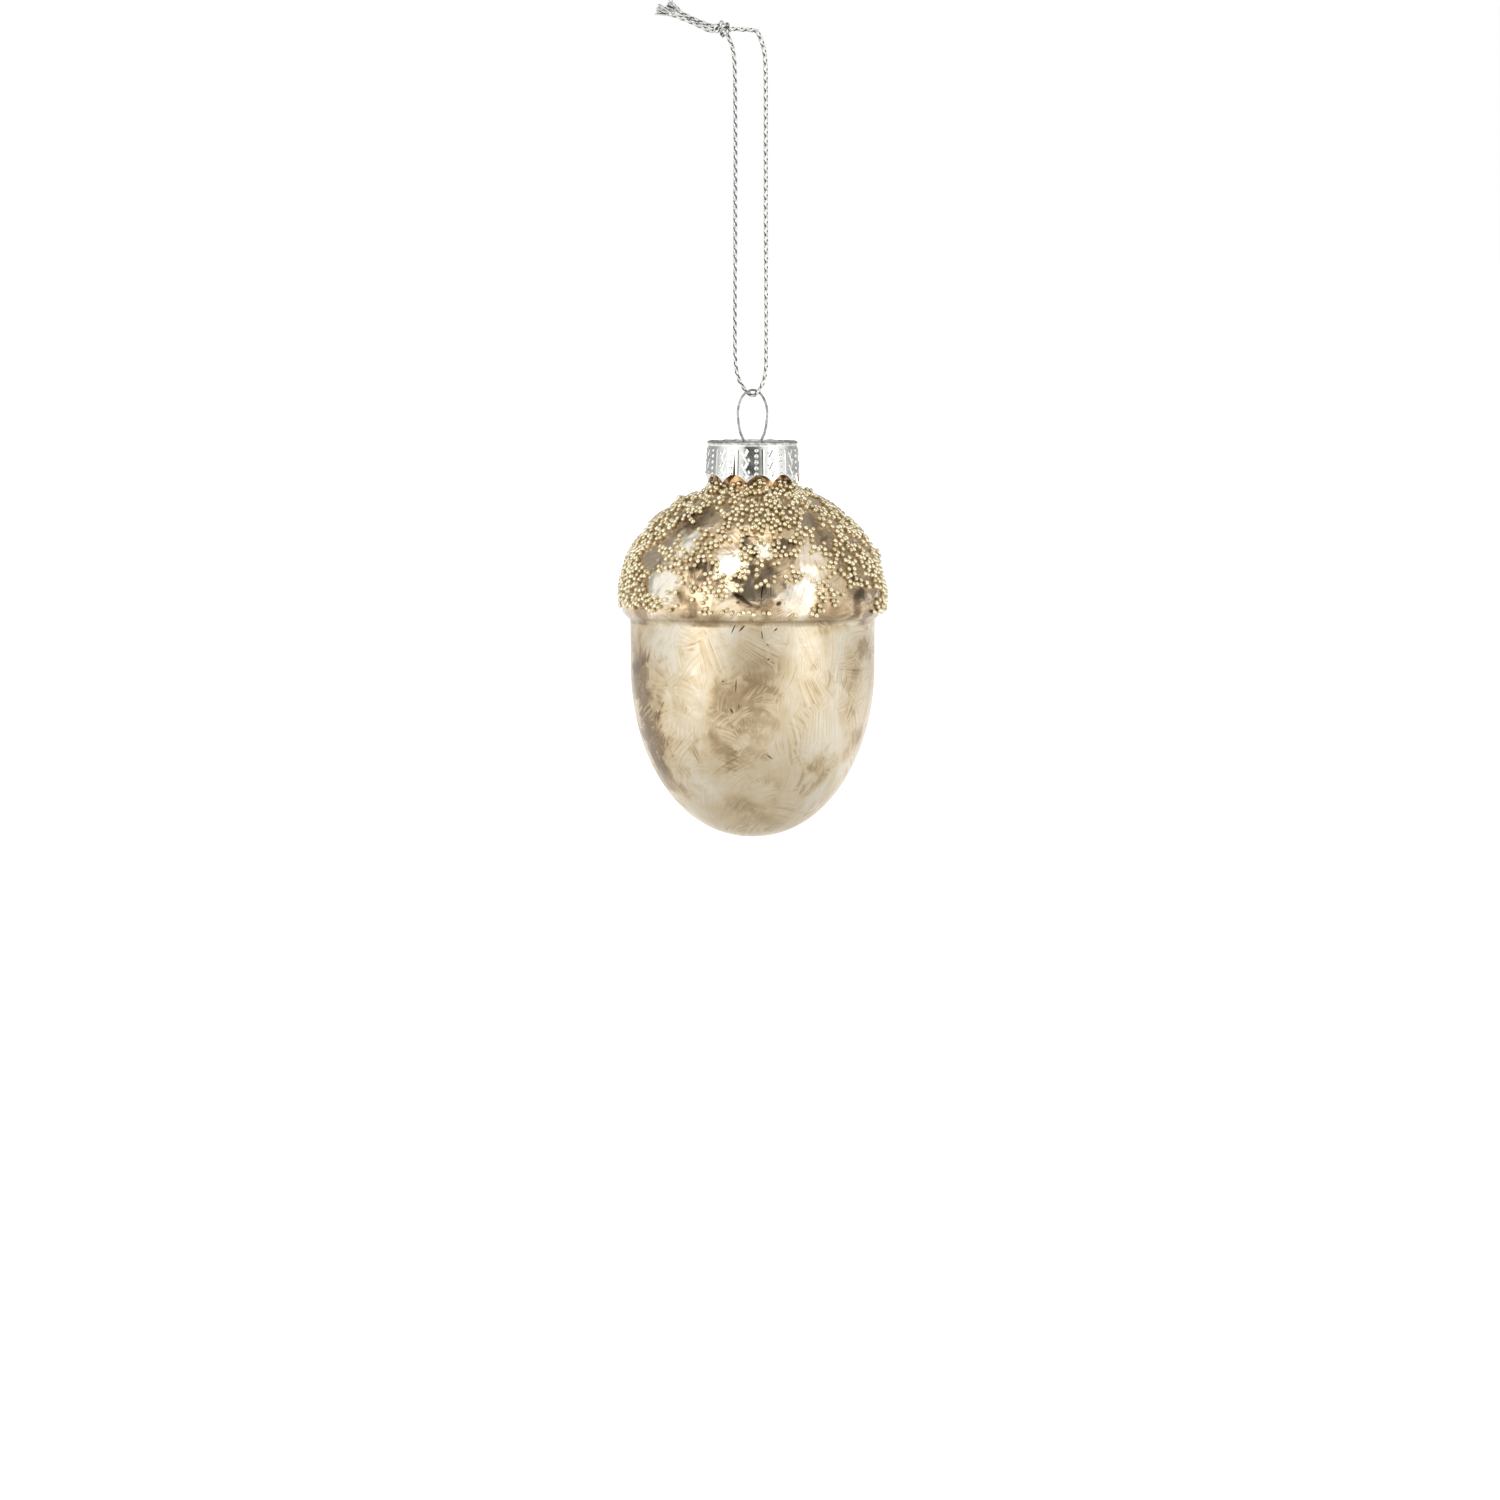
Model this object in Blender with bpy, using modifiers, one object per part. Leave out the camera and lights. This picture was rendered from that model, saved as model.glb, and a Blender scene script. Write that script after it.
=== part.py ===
"""An acorn-shaped blown glass ornament on a metallic cord.

The glass acorn hangs from a stamped crown cap, a spring-wire eye and a knotted cord loop.
The origin is the point under the top of the cord loop where a hook or a twig holds it:
+Z is up, +X is to the right and -Y is the front. Lengths are in metres.
"""

import math
import random

import bmesh
import bpy
from mathutils import Vector

MM = 0.001
GAP = 0.3 * MM  # between pieces that rest on each other

# The glass: a nut below, the nut's cup above it, and a short neck under the metal cap.
NECK_TOP_Z = -82.5 * MM
NECK_RADIUS = 8.0 * MM
NECK_LENGTH = 6.7 * MM
CUP_RADIUS = 26.2 * MM
CUP_CENTRE_Z = -113.2 * MM
CUP_HEIGHT = 22.8 * MM
LIP_DROP = 1.8 * MM  # from the widest ring of the cup to where its edge turns in
LIP_RADIUS = 2.2 * MM
CREASE_RADIUS = 1.4 * MM
NUT_RADIUS = 24.5 * MM
NUT_CENTRE_Z = -125.8 * MM
NUT_HEIGHT = 35.2 * MM
NUT_FULLNESS = 2.08  # the exponent of its outline, where 2 is an ellipse
GLASS_WALL = 0.9 * MM
SHOULDER_RADIUS = 9.4 * MM  # where the neck's fillet runs into the cup
TURN_STEPS = 36

# The crown cap, stamped from thin sheet, with a toothed edge.
LID_Z = -81.85 * MM
LID_RADIUS = 8.1 * MM
RIM_HEIGHT = 0.3 * MM
SKIRT_TOP_RADIUS = 9.1 * MM
SKIRT_FOOT_RADIUS = 9.45 * MM
NOTCH_TOP_Z = -88.2 * MM
TOOTH_TIP_Z = -89.8 * MM
SHEET = 0.3 * MM
TEETH = 11
STEPS_PER_TOOTH = 6
TOOTH_SLOPE_SHARE = 1 / 3  # of the pitch, from a tip to the flat top of a notch
FIRST_TIP_DEG = -7.0  # a tip just left of the front, seen from above
SLIT_WIDTH = 0.25 * MM
SLIT_HEIGHT = 4.6 * MM
WIRE_HOLE_RADIUS = 0.75 * MM
WIRE_HOLE_X = 1.75 * MM

# The spring wire: an eye above the lid, and two legs that spread inside the neck.
WIRE_RADIUS = 0.275 * MM
EYE_HALF_WIDTH = 2.93 * MM
EYE_TOP_Z = -71.47 * MM
EYE_CENTRE_Z = -76.3 * MM
EYE_LOWER_HEIGHT = 6.53 * MM
EYE_FOOT_Z = -81.4 * MM
LEG_ROUTE = (  # the right leg, X and Z in millimetres, from just above the lid to its tip
    (1.74, -81.8),
    (1.62, -82.4),
    (1.75, -83.4),
    (2.35, -85.2),
    (3.35, -88.0),
    (4.6, -91.6),
    (5.5, -94.6),
    (5.8, -96.4),
    (5.65, -97.6),
    (5.1, -98.3),
)

# The cord: a loop from the knot, down the left, through the wire eye, up the right and back.
CORD_RADIUS = 0.45 * MM
CORD_SPACING = 1.95 * MM
LOOP_ROUTE = (  # X, Y, Z in millimetres
    (-4.9, 0.0, -0.75),
    (-4.35, 0.05, -2.0),
    (-3.85, 0.1, -3.8),
    (-3.55, 0.2, -7.0),
    (-3.45, 0.3, -15.0),
    (-3.4, 0.45, -25.0),
    (-3.45, 0.6, -35.0),
    (-3.45, 0.75, -45.0),
    (-3.5, 0.9, -55.0),
    (-3.5, 1.0, -63.0),
    (-3.3, 1.05, -67.0),
    (-2.75, 1.08, -69.3),
    (-2.0, 1.1, -70.75),
    (-1.0, 0.98, -72.0),
    (0.0, 0.0, -72.6),
    (1.0, -0.98, -72.0),
    (1.75, -1.1, -70.75),
    (2.3, -1.08, -69.3),
    (2.65, -1.05, -67.0),
    (2.75, -1.0, -63.0),
    (2.75, -0.9, -55.0),
    (2.7, -0.75, -45.0),
    (2.65, -0.6, -35.0),
    (2.65, -0.45, -25.0),
    (2.65, -0.3, -15.0),
    (2.6, -0.2, -7.0),
    (2.3, -0.1, -3.6),
    (1.7, -0.05, -1.5),
    (0.95, 0.0, 0.1),
    (-0.2, 0.0, 0.5),
    (-2.2, 0.0, 0.6),
    (-4.0, 0.0, 0.72),
)
KNOT_CENTRE = Vector((-6.1, 0.0, 0.85)) * MM
KNOT_RADIUS = 1.55 * MM
TAIL_ROUTES = {
    "cord_tail_upper": ((-8.0, 0.1, 1.35), (-10.5, 0.2, 2.35), (-13.5, 0.2, 3.75), (-16.6, 0.1, 5.6)),
    "cord_tail_lower": ((-7.95, -0.1, 0.15), (-10.5, -0.2, 1.15), (-13.5, -0.2, 2.45), (-18.8, -0.3, 4.3)),
}

# The beads: dabs of clear adhesive on the cup, each holding a few round micro beads.
BEAD_RADIUS = 0.5 * MM
BEAD_SINK = 0.06 * MM  # how far a bead's underside is pressed into its adhesive
ADHESIVE_THICKNESS = 0.4 * MM
DAB_SIDES = 10
BEAD_RING_SHARE = 0.62  # how far out the beads lie on their dab
DAB_SHAPES = (  # half width, half height, beads in the ring
    (3.4 * MM, 3.0 * MM, 5),
    (4.6 * MM, 2.6 * MM, 6),
    (2.7 * MM, 2.6 * MM, 4),
)
DAB_PLACES = (  # degrees down the cup from its top, degrees round it from the front
    (37, -92),
    (34, -42),
    (36, 8),
    (35, 50),
    (38, 94),
    (35, 141),
    (36, -172),
    (34, -128),
    (58, -112),
    (55, -78),
    (60, -38),
    (57, 25),
    (61, 62),
    (56, 102),
    (60, 134),
    (57, 171),
    (59, -148),
    (82, -96),
    (79, -62),
    (84, 4),
    (80, 78),
    (82, 112),
    (79, 152),
    (83, -131),
)
SEED = 7

MATERIALS = {  # base colour, metallic, roughness
    "mirrored_glass": ((0.72, 0.60, 0.44), 0.85, 0.22),
    "bead_gold": ((0.76, 0.66, 0.45), 0.9, 0.18),
    "cap_silver": ((0.86, 0.87, 0.87), 1.0, 0.2),
    "wire_steel": ((0.80, 0.81, 0.82), 1.0, 0.25),
    "cord_silver": ((0.78, 0.79, 0.77), 0.8, 0.35),
}


def clear_scene():
    for old in list(bpy.data.objects):
        bpy.data.objects.remove(old)


def new_collection(name):
    made = bpy.data.collections.new(name)
    bpy.context.scene.collection.children.link(made)
    return made


def new_material(name):
    colour, metallic, roughness = MATERIALS[name]
    made = bpy.data.materials.new(name)
    made.use_nodes = True
    shader = made.node_tree.nodes["Principled BSDF"]
    shader.inputs["Base Color"].default_value = (*colour, 1.0)
    shader.inputs["Metallic"].default_value = metallic
    shader.inputs["Roughness"].default_value = roughness
    return made


def add_object(name, data, collection, material=None):
    made = bpy.data.objects.new(name, data)
    collection.objects.link(made)
    if material is not None:
        data.materials.append(material)
    return made


def mesh_from(name, bm):
    mesh = bpy.data.meshes.new(name)
    bm.to_mesh(mesh)
    bm.free()
    return mesh


def arc(centre, radius, start_deg, end_deg, count):
    """Points of an arc in the profile plane, the first one left out."""
    made = []
    for i in range(1, count + 1):
        angle = math.radians(start_deg + (end_deg - start_deg) * i / count)
        made.append((centre[0] + radius * math.cos(angle), centre[1] + radius * math.sin(angle)))
    return made


def smooth_curve(points, steps):
    """A Catmull-Rom curve through the points, with that many steps between two of them."""
    points = [Vector(p) for p in points]
    padded = [2 * points[0] - points[1], *points, 2 * points[-1] - points[-2]]
    made = []
    for a, b, c, d in zip(padded, padded[1:], padded[2:], padded[3:]):
        for i in range(steps):
            t = i / steps
            made.append(
                0.5 * (2 * b + (c - a) * t + (2 * a - 5 * b + 4 * c - d) * t**2 + (3 * b - a - 3 * c + d) * t**3)
            )
    return [*made, points[-1]]


def evenly_spaced(line, spacing):
    """The line again, with points about that far apart."""
    along = [0.0]
    for a, b in zip(line, line[1:]):
        along.append(along[-1] + (b - a).length)
    count = max(2, round(along[-1] / spacing) + 1)
    made, k = [], 0
    for i in range(count):
        at = along[-1] * i / (count - 1)
        while k < len(line) - 2 and along[k + 1] < at:
            k += 1
        made.append(line[k].lerp(line[k + 1], (at - along[k]) / (along[k + 1] - along[k])))
    return made


def add_tube(name, points, radius, collection, material):
    """A round wire or cord along the points, with closed ends."""
    curve = bpy.data.curves.new(name, "CURVE")
    curve.dimensions = "3D"
    curve.bevel_depth = radius
    curve.bevel_resolution = 2
    curve.use_fill_caps = True
    spline = curve.splines.new("POLY")
    spline.points.add(len(points) - 1)
    for spot, point in zip(spline.points, points):
        spot.co = (*point, 1.0)
    return add_object(name, curve, collection, material)


def glass_profile():
    """The outside of the glass, (radius, z), from the rim of the neck down to the tip of the nut."""
    neck_foot = NECK_TOP_Z - NECK_LENGTH
    start = math.asin(SHOULDER_RADIUS / CUP_RADIUS)
    shoulder_z = CUP_CENTRE_Z + CUP_HEIGHT * math.cos(start)
    made = [(NECK_RADIUS, NECK_TOP_Z), (NECK_RADIUS, (NECK_TOP_Z + neck_foot) / 2)]
    for t in (0.0, 0.4, 0.75):  # the fillet is a quadratic curve with its corner on the neck
        made.append(
            (
                NECK_RADIUS + (SHOULDER_RADIUS - NECK_RADIUS) * t**2,
                neck_foot * (1 - t) ** 2 + (shoulder_z + 0.4 * MM) * 2 * t * (1 - t) + shoulder_z * t**2,
            )
        )
    for i in range(9):
        angle = start + (math.pi / 2 - start) * i / 8
        made.append((CUP_RADIUS * math.sin(angle), CUP_CENTRE_Z + CUP_HEIGHT * math.cos(angle)))
    turn = math.acos(1 - (CUP_RADIUS - NUT_RADIUS) / (LIP_RADIUS + CREASE_RADIUS))
    turn_deg = math.degrees(turn)
    lip_z = CUP_CENTRE_Z - LIP_DROP
    crease_z = lip_z - (LIP_RADIUS + CREASE_RADIUS) * math.sin(turn)
    made.append((CUP_RADIUS, lip_z))
    made += arc((CUP_RADIUS - LIP_RADIUS, lip_z), LIP_RADIUS, 0, -turn_deg, 2)
    made += arc((NUT_RADIUS + CREASE_RADIUS, crease_z), CREASE_RADIUS, 180 - turn_deg, 180, 2)
    for i in range(10):
        angle, power = math.pi / 2 * i / 9, 2 / NUT_FULLNESS
        across = max(math.cos(angle), 0.0) ** power
        made.append((NUT_RADIUS * across, NUT_CENTRE_Z - NUT_HEIGHT * math.sin(angle) ** power))
    return made


def make_glass(collection, material):
    """The blown shell, open at the neck, turned from its outside and given its wall inwards."""
    profile = glass_profile()
    profile[-1] = (0.0, profile[-1][1])
    bm = bmesh.new()
    spots = [bm.verts.new((r, 0.0, z)) for r, z in profile]
    for a, b in zip(spots, spots[1:]):
        bm.edges.new((a, b))
    shell = add_object("glass_shell", mesh_from("glass_shell", bm), collection, material)
    turn = shell.modifiers.new("turn", "SCREW")
    turn.steps = turn.render_steps = TURN_STEPS
    turn.use_merge_vertices = True
    turn.merge_threshold = 0.00001
    wall = shell.modifiers.new("wall", "SOLIDIFY")
    wall.thickness = GLASS_WALL
    wall.offset = -1.0
    wall.use_even_offset = True
    return shell


def tooth_edge_z(angle_deg):
    """The height of the cap's toothed edge at an angle round the cap."""
    share = ((angle_deg - FIRST_TIP_DEG) * TEETH / 360) % 1
    rise = min(min(share, 1 - share) / TOOTH_SLOPE_SHARE, 1.0)
    return TOOTH_TIP_Z + (NOTCH_TOP_Z - TOOTH_TIP_Z) * rise


def cut(target, cutter, cutters):
    cutters.objects.link(cutter)
    cutter.hide_render = True
    cutter.display_type = "WIRE"
    step = target.modifiers.new("cut " + cutter.name, "BOOLEAN")
    step.operation = "DIFFERENCE"
    step.object = cutter


def make_cap(collection, cutters, material):
    """The crown cap: a lid with a raised rim and a slightly flared skirt that ends in teeth."""
    rim_z = LID_Z + RIM_HEIGHT
    profile = [
        (3.6 * MM, LID_Z),
        (LID_RADIUS, LID_Z),
        (LID_RADIUS + 0.25 * MM, rim_z),
        (SKIRT_TOP_RADIUS - 0.35 * MM, rim_z),
        (SKIRT_TOP_RADIUS, rim_z - 0.4 * MM),
        ((SKIRT_TOP_RADIUS + SKIRT_FOOT_RADIUS) / 2, (LID_Z + NOTCH_TOP_Z) / 2),
        (SKIRT_FOOT_RADIUS, NOTCH_TOP_Z + 0.35 * MM),
    ]
    count = TEETH * STEPS_PER_TOOTH
    angles = [FIRST_TIP_DEG + 360 * i / count for i in range(count)]
    bm = bmesh.new()
    rings = []
    for r, z in [*profile, (SKIRT_FOOT_RADIUS, None)]:
        ring = []
        for deg in angles:
            turn = math.radians(deg - 90)
            height = tooth_edge_z(deg) if z is None else z
            ring.append(bm.verts.new((r * math.cos(turn), r * math.sin(turn), height)))
        rings.append(ring)
    bm.faces.new(rings[0])
    for upper, lower in zip(rings, rings[1:]):
        for i in range(count):
            k = (i + 1) % count
            bm.faces.new((upper[i], lower[i], lower[k], upper[k]))
    bmesh.ops.recalc_face_normals(bm, faces=bm.faces)
    cap = add_object("crown_cap", mesh_from("crown_cap", bm), collection, material)
    wall = cap.modifiers.new("sheet", "SOLIDIFY")
    wall.thickness = SHEET
    wall.offset = -1.0
    wall.use_even_offset = True
    for side in (-1, 1):
        hole = bmesh.new()
        bmesh.ops.create_cone(
            hole, cap_ends=True, segments=10, radius1=WIRE_HOLE_RADIUS, radius2=WIRE_HOLE_RADIUS, depth=3 * MM
        )
        name = "left_wire_hole" if side < 0 else "right_wire_hole"
        tool = bpy.data.objects.new(name, mesh_from(name, hole))
        tool.location = (side * WIRE_HOLE_X, 0.0, LID_Z)
        cut(cap, tool, cutters)
    slit = bmesh.new()
    bmesh.ops.create_cube(slit, size=1.0)
    bmesh.ops.scale(slit, vec=(SLIT_WIDTH, 4 * MM, SLIT_HEIGHT + 2 * MM), verts=slit.verts)
    tool = bpy.data.objects.new("skirt_slit", mesh_from("skirt_slit", slit))
    turn = math.radians(FIRST_TIP_DEG - 180 / TEETH)
    tool.rotation_euler.z = turn
    tool.location = (
        SKIRT_FOOT_RADIUS * math.sin(turn),
        -SKIRT_FOOT_RADIUS * math.cos(turn),
        NOTCH_TOP_Z + (SLIT_HEIGHT - 2 * MM) / 2,
    )
    cut(cap, tool, cutters)
    return cap


def wire_route():
    """The centre line of the wire, from the tip of the left leg over the eye to the right tip."""
    right = []
    for i in range(6):
        angle = math.pi / 2 * i / 6
        right.append((EYE_HALF_WIDTH * math.sin(angle), EYE_CENTRE_Z + (EYE_TOP_Z - EYE_CENTRE_Z) * math.cos(angle)))
    foot = math.asin((EYE_CENTRE_Z - EYE_FOOT_Z) / EYE_LOWER_HEIGHT)
    for i in range(4):
        angle = foot * i / 3
        right.append((EYE_HALF_WIDTH * math.cos(angle), EYE_CENTRE_Z - EYE_LOWER_HEIGHT * math.sin(angle)))
    right += [(x * MM, z * MM) for x, z in LEG_ROUTE]
    left = [(-x, z) for x, z in reversed(right[1:])]
    return [Vector((x, 0.0, z)) for x, z in left + right]


def cup_point(down_deg, round_deg, out):
    """A point that far out from the cup's surface, at angles down from its top and round it from the front."""
    down, turn = math.radians(down_deg), math.radians(round_deg)
    radial = CUP_RADIUS * math.sin(down) + out * math.sin(down) * CUP_HEIGHT / CUP_RADIUS
    height = CUP_CENTRE_Z + CUP_HEIGHT * math.cos(down) + out * math.cos(down)
    return Vector((radial * math.sin(turn), -radial * math.cos(turn), height))


def dab_pattern(number, cutters):
    """A flat oval dab of adhesive with beads pressed into it, before it is laid on the cup."""
    half_width, half_height, in_ring = DAB_SHAPES[number]
    pick = random.Random(SEED + number)
    dab = bmesh.new()
    bmesh.ops.create_cone(
        dab, cap_ends=True, segments=DAB_SIDES, radius1=1.0, radius2=0.9, depth=ADHESIVE_THICKNESS
    )
    bmesh.ops.poke(dab, faces=[face for face in dab.faces if len(face.verts) == DAB_SIDES])
    bmesh.ops.scale(dab, vec=(half_width, half_height, 1.0), verts=dab.verts)
    bmesh.ops.translate(dab, vec=(0.0, 0.0, ADHESIVE_THICKNESS / 2), verts=dab.verts)
    beads = bmesh.new()
    spots = [(0.0, 0.0)]
    for i in range(in_ring):
        angle = 2 * math.pi * (i + pick.uniform(-0.12, 0.12)) / in_ring
        reach = BEAD_RING_SHARE * pick.uniform(0.85, 1.1)
        spots.append((half_width * reach * math.cos(angle), half_height * reach * math.sin(angle)))
    for x, y in spots:
        ball = bmesh.ops.create_icosphere(beads, subdivisions=1, radius=BEAD_RADIUS)
        height = ADHESIVE_THICKNESS / 2 + BEAD_RADIUS - BEAD_SINK
        bmesh.ops.translate(beads, vec=(x, y, height), verts=ball["verts"])
    target = bpy.data.objects.new(f"dab_{number}", mesh_from(f"dab_{number}", dab))
    tool = bpy.data.objects.new(f"dab_beads_{number}", mesh_from(f"dab_beads_{number}", beads))
    for helper in (target, tool):
        cutters.objects.link(helper)
        helper.hide_render = True
        helper.display_type = "WIRE"
    join = target.modifiers.new("beads", "BOOLEAN")
    join.operation = "UNION"
    join.object = tool
    bpy.context.view_layer.update()
    graph = bpy.context.evaluated_depsgraph_get()
    return bpy.data.meshes.new_from_object(target.evaluated_get(graph))


def lay_on_cup(pattern, down_deg, round_deg, spin):
    """A copy of a flat pattern, turned by spin and bent onto the cup."""
    down = math.radians(down_deg)
    across = CUP_RADIUS * math.sin(down)
    along = math.hypot(CUP_RADIUS * math.cos(down), CUP_HEIGHT * math.sin(down))
    mesh = pattern.copy()
    for vertex in mesh.vertices:
        x, y, out = vertex.co
        u = x * math.cos(spin) - y * math.sin(spin)
        v = x * math.sin(spin) + y * math.cos(spin)
        vertex.co = cup_point(
            down_deg - math.degrees(v / along), round_deg + math.degrees(u / across), GAP + out
        )
    return mesh


def make_bead_clusters(collection, cutters, material):
    patterns = [dab_pattern(i, cutters) for i in range(len(DAB_SHAPES))]
    pick = random.Random(SEED)
    for i, (down_deg, round_deg) in enumerate(DAB_PLACES):
        pattern = patterns[i % len(patterns)]
        mesh = lay_on_cup(pattern, down_deg, round_deg, pick.uniform(0, 2 * math.pi))
        add_object(f"bead_cluster_{i + 1:02d}", mesh, collection, material)


def make_cord(collection, material):
    loop = evenly_spaced(smooth_curve([Vector(p) * MM for p in LOOP_ROUTE], 12), CORD_SPACING)
    add_tube("cord_loop", loop, CORD_RADIUS, collection, material)
    for name, route in TAIL_ROUTES.items():
        tail = evenly_spaced(smooth_curve([Vector(p) * MM for p in route], 12), CORD_SPACING)
        add_tube(name, tail, CORD_RADIUS, collection, material)
    knot = bmesh.new()
    bmesh.ops.create_uvsphere(knot, u_segments=14, v_segments=9, radius=KNOT_RADIUS)
    ball = add_object("cord_knot", mesh_from("cord_knot", knot), collection, material)
    ball.location = KNOT_CENTRE


def main():
    clear_scene()
    ornament = new_collection("glass_acorn_ornament")
    cutters = new_collection("cutters")
    look = {name: new_material(name) for name in MATERIALS}
    make_glass(ornament, look["mirrored_glass"])
    make_bead_clusters(ornament, cutters, look["bead_gold"])
    make_cap(ornament, cutters, look["cap_silver"])
    add_tube("wire_hanger", wire_route(), WIRE_RADIUS, ornament, look["wire_steel"])
    make_cord(ornament, look["cord_silver"])


main()
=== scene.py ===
"""The looks of an acorn-shaped glass ornament on a braided metallic cord.

The glass shell is mirrored under a feathered lacquer, with micro beads stuck on its cup. It hangs
from an embossed crown cap, a wire eye and a knotted cord. All lengths are in metres.
"""

import math
import random
from itertools import product

import bmesh
import bpy
import numpy as np
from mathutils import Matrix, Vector, noise


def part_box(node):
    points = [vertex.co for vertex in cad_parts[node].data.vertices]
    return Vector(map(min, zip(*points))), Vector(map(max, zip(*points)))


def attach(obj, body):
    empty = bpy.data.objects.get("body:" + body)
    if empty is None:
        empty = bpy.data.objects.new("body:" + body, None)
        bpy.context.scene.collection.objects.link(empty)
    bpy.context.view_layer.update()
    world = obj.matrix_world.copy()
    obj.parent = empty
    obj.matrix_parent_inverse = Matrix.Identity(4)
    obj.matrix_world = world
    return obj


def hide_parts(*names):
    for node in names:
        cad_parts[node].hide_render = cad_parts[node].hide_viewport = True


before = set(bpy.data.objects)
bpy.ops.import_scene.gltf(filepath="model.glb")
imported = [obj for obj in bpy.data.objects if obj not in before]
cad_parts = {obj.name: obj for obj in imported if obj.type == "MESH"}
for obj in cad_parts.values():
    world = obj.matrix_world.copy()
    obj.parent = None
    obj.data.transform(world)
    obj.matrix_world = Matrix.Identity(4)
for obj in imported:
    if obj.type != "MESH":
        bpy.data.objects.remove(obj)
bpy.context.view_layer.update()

MM = 0.001
SCENE = bpy.context.scene

# Camera and studio
AIM = Vector((-0.5, 0.0, -143.65)) * MM
CAMERA_DISTANCE = 3.5
CAMERA_ELEVATION = math.radians(3.1)
VIEW_WIDTH = 0.3006  # at the ornament
FLOOR_Z = -0.36

# Glass, from the frame's own box
GLASS_LOW, GLASS_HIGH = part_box("glass_shell")
CUP_RADIUS = GLASS_HIGH[0]
NECK_TOP_Z = GLASS_HIGH[2]
TIP_Z = GLASS_LOW[2]
NECK_RADIUS = 8.0 * MM
NECK_LENGTH = 6.7 * MM
SHOULDER_RADIUS = 9.4 * MM
CUP_HEIGHT = 22.8 * MM
CUP_CENTRE_Z = NECK_TOP_Z - 30.7 * MM
LIP_DROP = 1.8 * MM
LIP_RADIUS = 2.2 * MM
CREASE_RADIUS = 1.4 * MM
NUT_RADIUS = 24.5 * MM
NUT_HEIGHT = 35.2 * MM
NUT_FULLNESS = 2.08
NUT_CENTRE_Z = TIP_Z + NUT_HEIGHT
GLASS_WALL = 0.9 * MM
CREASE_Z = CUP_CENTRE_Z - LIP_DROP - 2.95 * MM
LACQUER_ENDS = (-93.5 * MM, -90.5 * MM)  # the heights between which it fades out
DENTS_END = (-96.0 * MM, -91.0 * MM)
CUP_LUMPS, NUT_SWAY = 0.30 * MM, 0.10 * MM  # how far the blown glass strays from its outline
FILLET_ROWS, CUP_ROWS, LIP_ROWS, NUT_ROWS = 6, 70, 10, 90
GLASS_COLUMNS = 288

# The mirror's colours through the lacquer, from its darkest shade to its lightest
NUT_TONES = (
    (0.0, (0.16, 0.105, 0.05)),
    (0.2, (0.33, 0.24, 0.135)),
    (0.42, (0.54, 0.435, 0.28)),
    (0.68, (0.63, 0.57, 0.45)),
    (1.0, (0.71, 0.69, 0.63)),
)
# On the cup the tones reach from near black to near white: besides the mirror's own tone they paint its
# dark and bright reflections
CUP_TONES_AND_PAINTED_REFLECTIONS = (
    (0.0, (0.07, 0.05, 0.03)),
    (0.3, (0.36, 0.25, 0.14)),
    (0.6, (0.63, 0.50, 0.33)),
    (1.0, (0.89, 0.83, 0.71)),
)

# The lacquer's stains, with painted light among them: X, Y, Z and reach in millimetres, and how much darker
# it is, or lighter below 0. The lighter ones are painted highlights. The darker spots on the cup paint the
# bumpy mirror's dark reflections as well as lacquer patches. The one at the crease on the right and the one
# at the bottom are painted shade; the others on the nut are stains.
STAINS_AND_PAINTED_LIGHT = (
    (-22.8, -8.0, -122.0, 6.5, 0.19),
    (-21.5, -10.0, -131.0, 8.0, 0.31),
    (-20.5, -9.0, -140.0, 8.0, 0.36),
    (-17.5, -8.0, -148.0, 6.5, 0.24),
    (22.8, -8.5, -122.8, 4.0, 0.18),
    (21.5, -8.0, -141.0, 5.5, 0.17),
    (2.0, -24.5, -127.0, 8.0, 0.09),
    (-1.0, -24.0, -135.5, 9.5, 0.21),
    (-7.5, -20.0, -143.5, 4.5, 0.12),
    (13.5, -16.0, -146.5, 5.0, 0.22),
    (2.0, -17.0, -150.0, 9.0, 0.11),
    (16.0, 18.0, -128.0, 8.0, 0.15),
    (-8.0, 21.0, -142.0, 7.5, 0.15),
    (-21.0, 10.0, -131.0, 6.0, 0.17),
    (20.0, 4.0, -138.0, 5.0, 0.14),
    (-4.8, -25.0, -105.2, 4.4, -0.4),
    (-1.8, -25.0, -101.5, 2.6, 0.5),
    (2.2, -24.0, -103.3, 2.8, -0.36),
    (-9.0, -24.0, -108.0, 2.8, 0.44),
    (-3.2, -26.0, -110.2, 2.6, 0.4),
    (-0.4, -26.0, -112.6, 2.4, 0.22),
    (2.4, -26.0, -114.2, 2.4, 0.2),
    (10.0, -24.0, -111.5, 4.5, -0.17),
    (-14.0, -19.0, -100.5, 3.8, -0.36),
    (-17.0, -19.0, -110.0, 4.5, -0.36),
    (12.5, -22.0, -105.8, 5.0, -0.12),
    (20.5, -15.5, -113.0, 3.6, 0.31),
    (-12.5, -22.5, -113.8, 3.6, 0.29),
    (15.0, -20.5, -116.6, 5.0, 0.17),
    (0.0, -8.0, -158.5, 10.0, 0.12),
    (7.0, -22.0, -101.3, 3.4, 0.36),
    (-12.5, -14.0, -95.6, 4.5, 0.34),
    (14.0, 20.0, -110.0, 5.0, -0.36),
    (-6.0, 24.0, -105.0, 4.0, 0.18),
    (-20.0, 14.0, -112.0, 4.0, 0.24),
)

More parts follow.
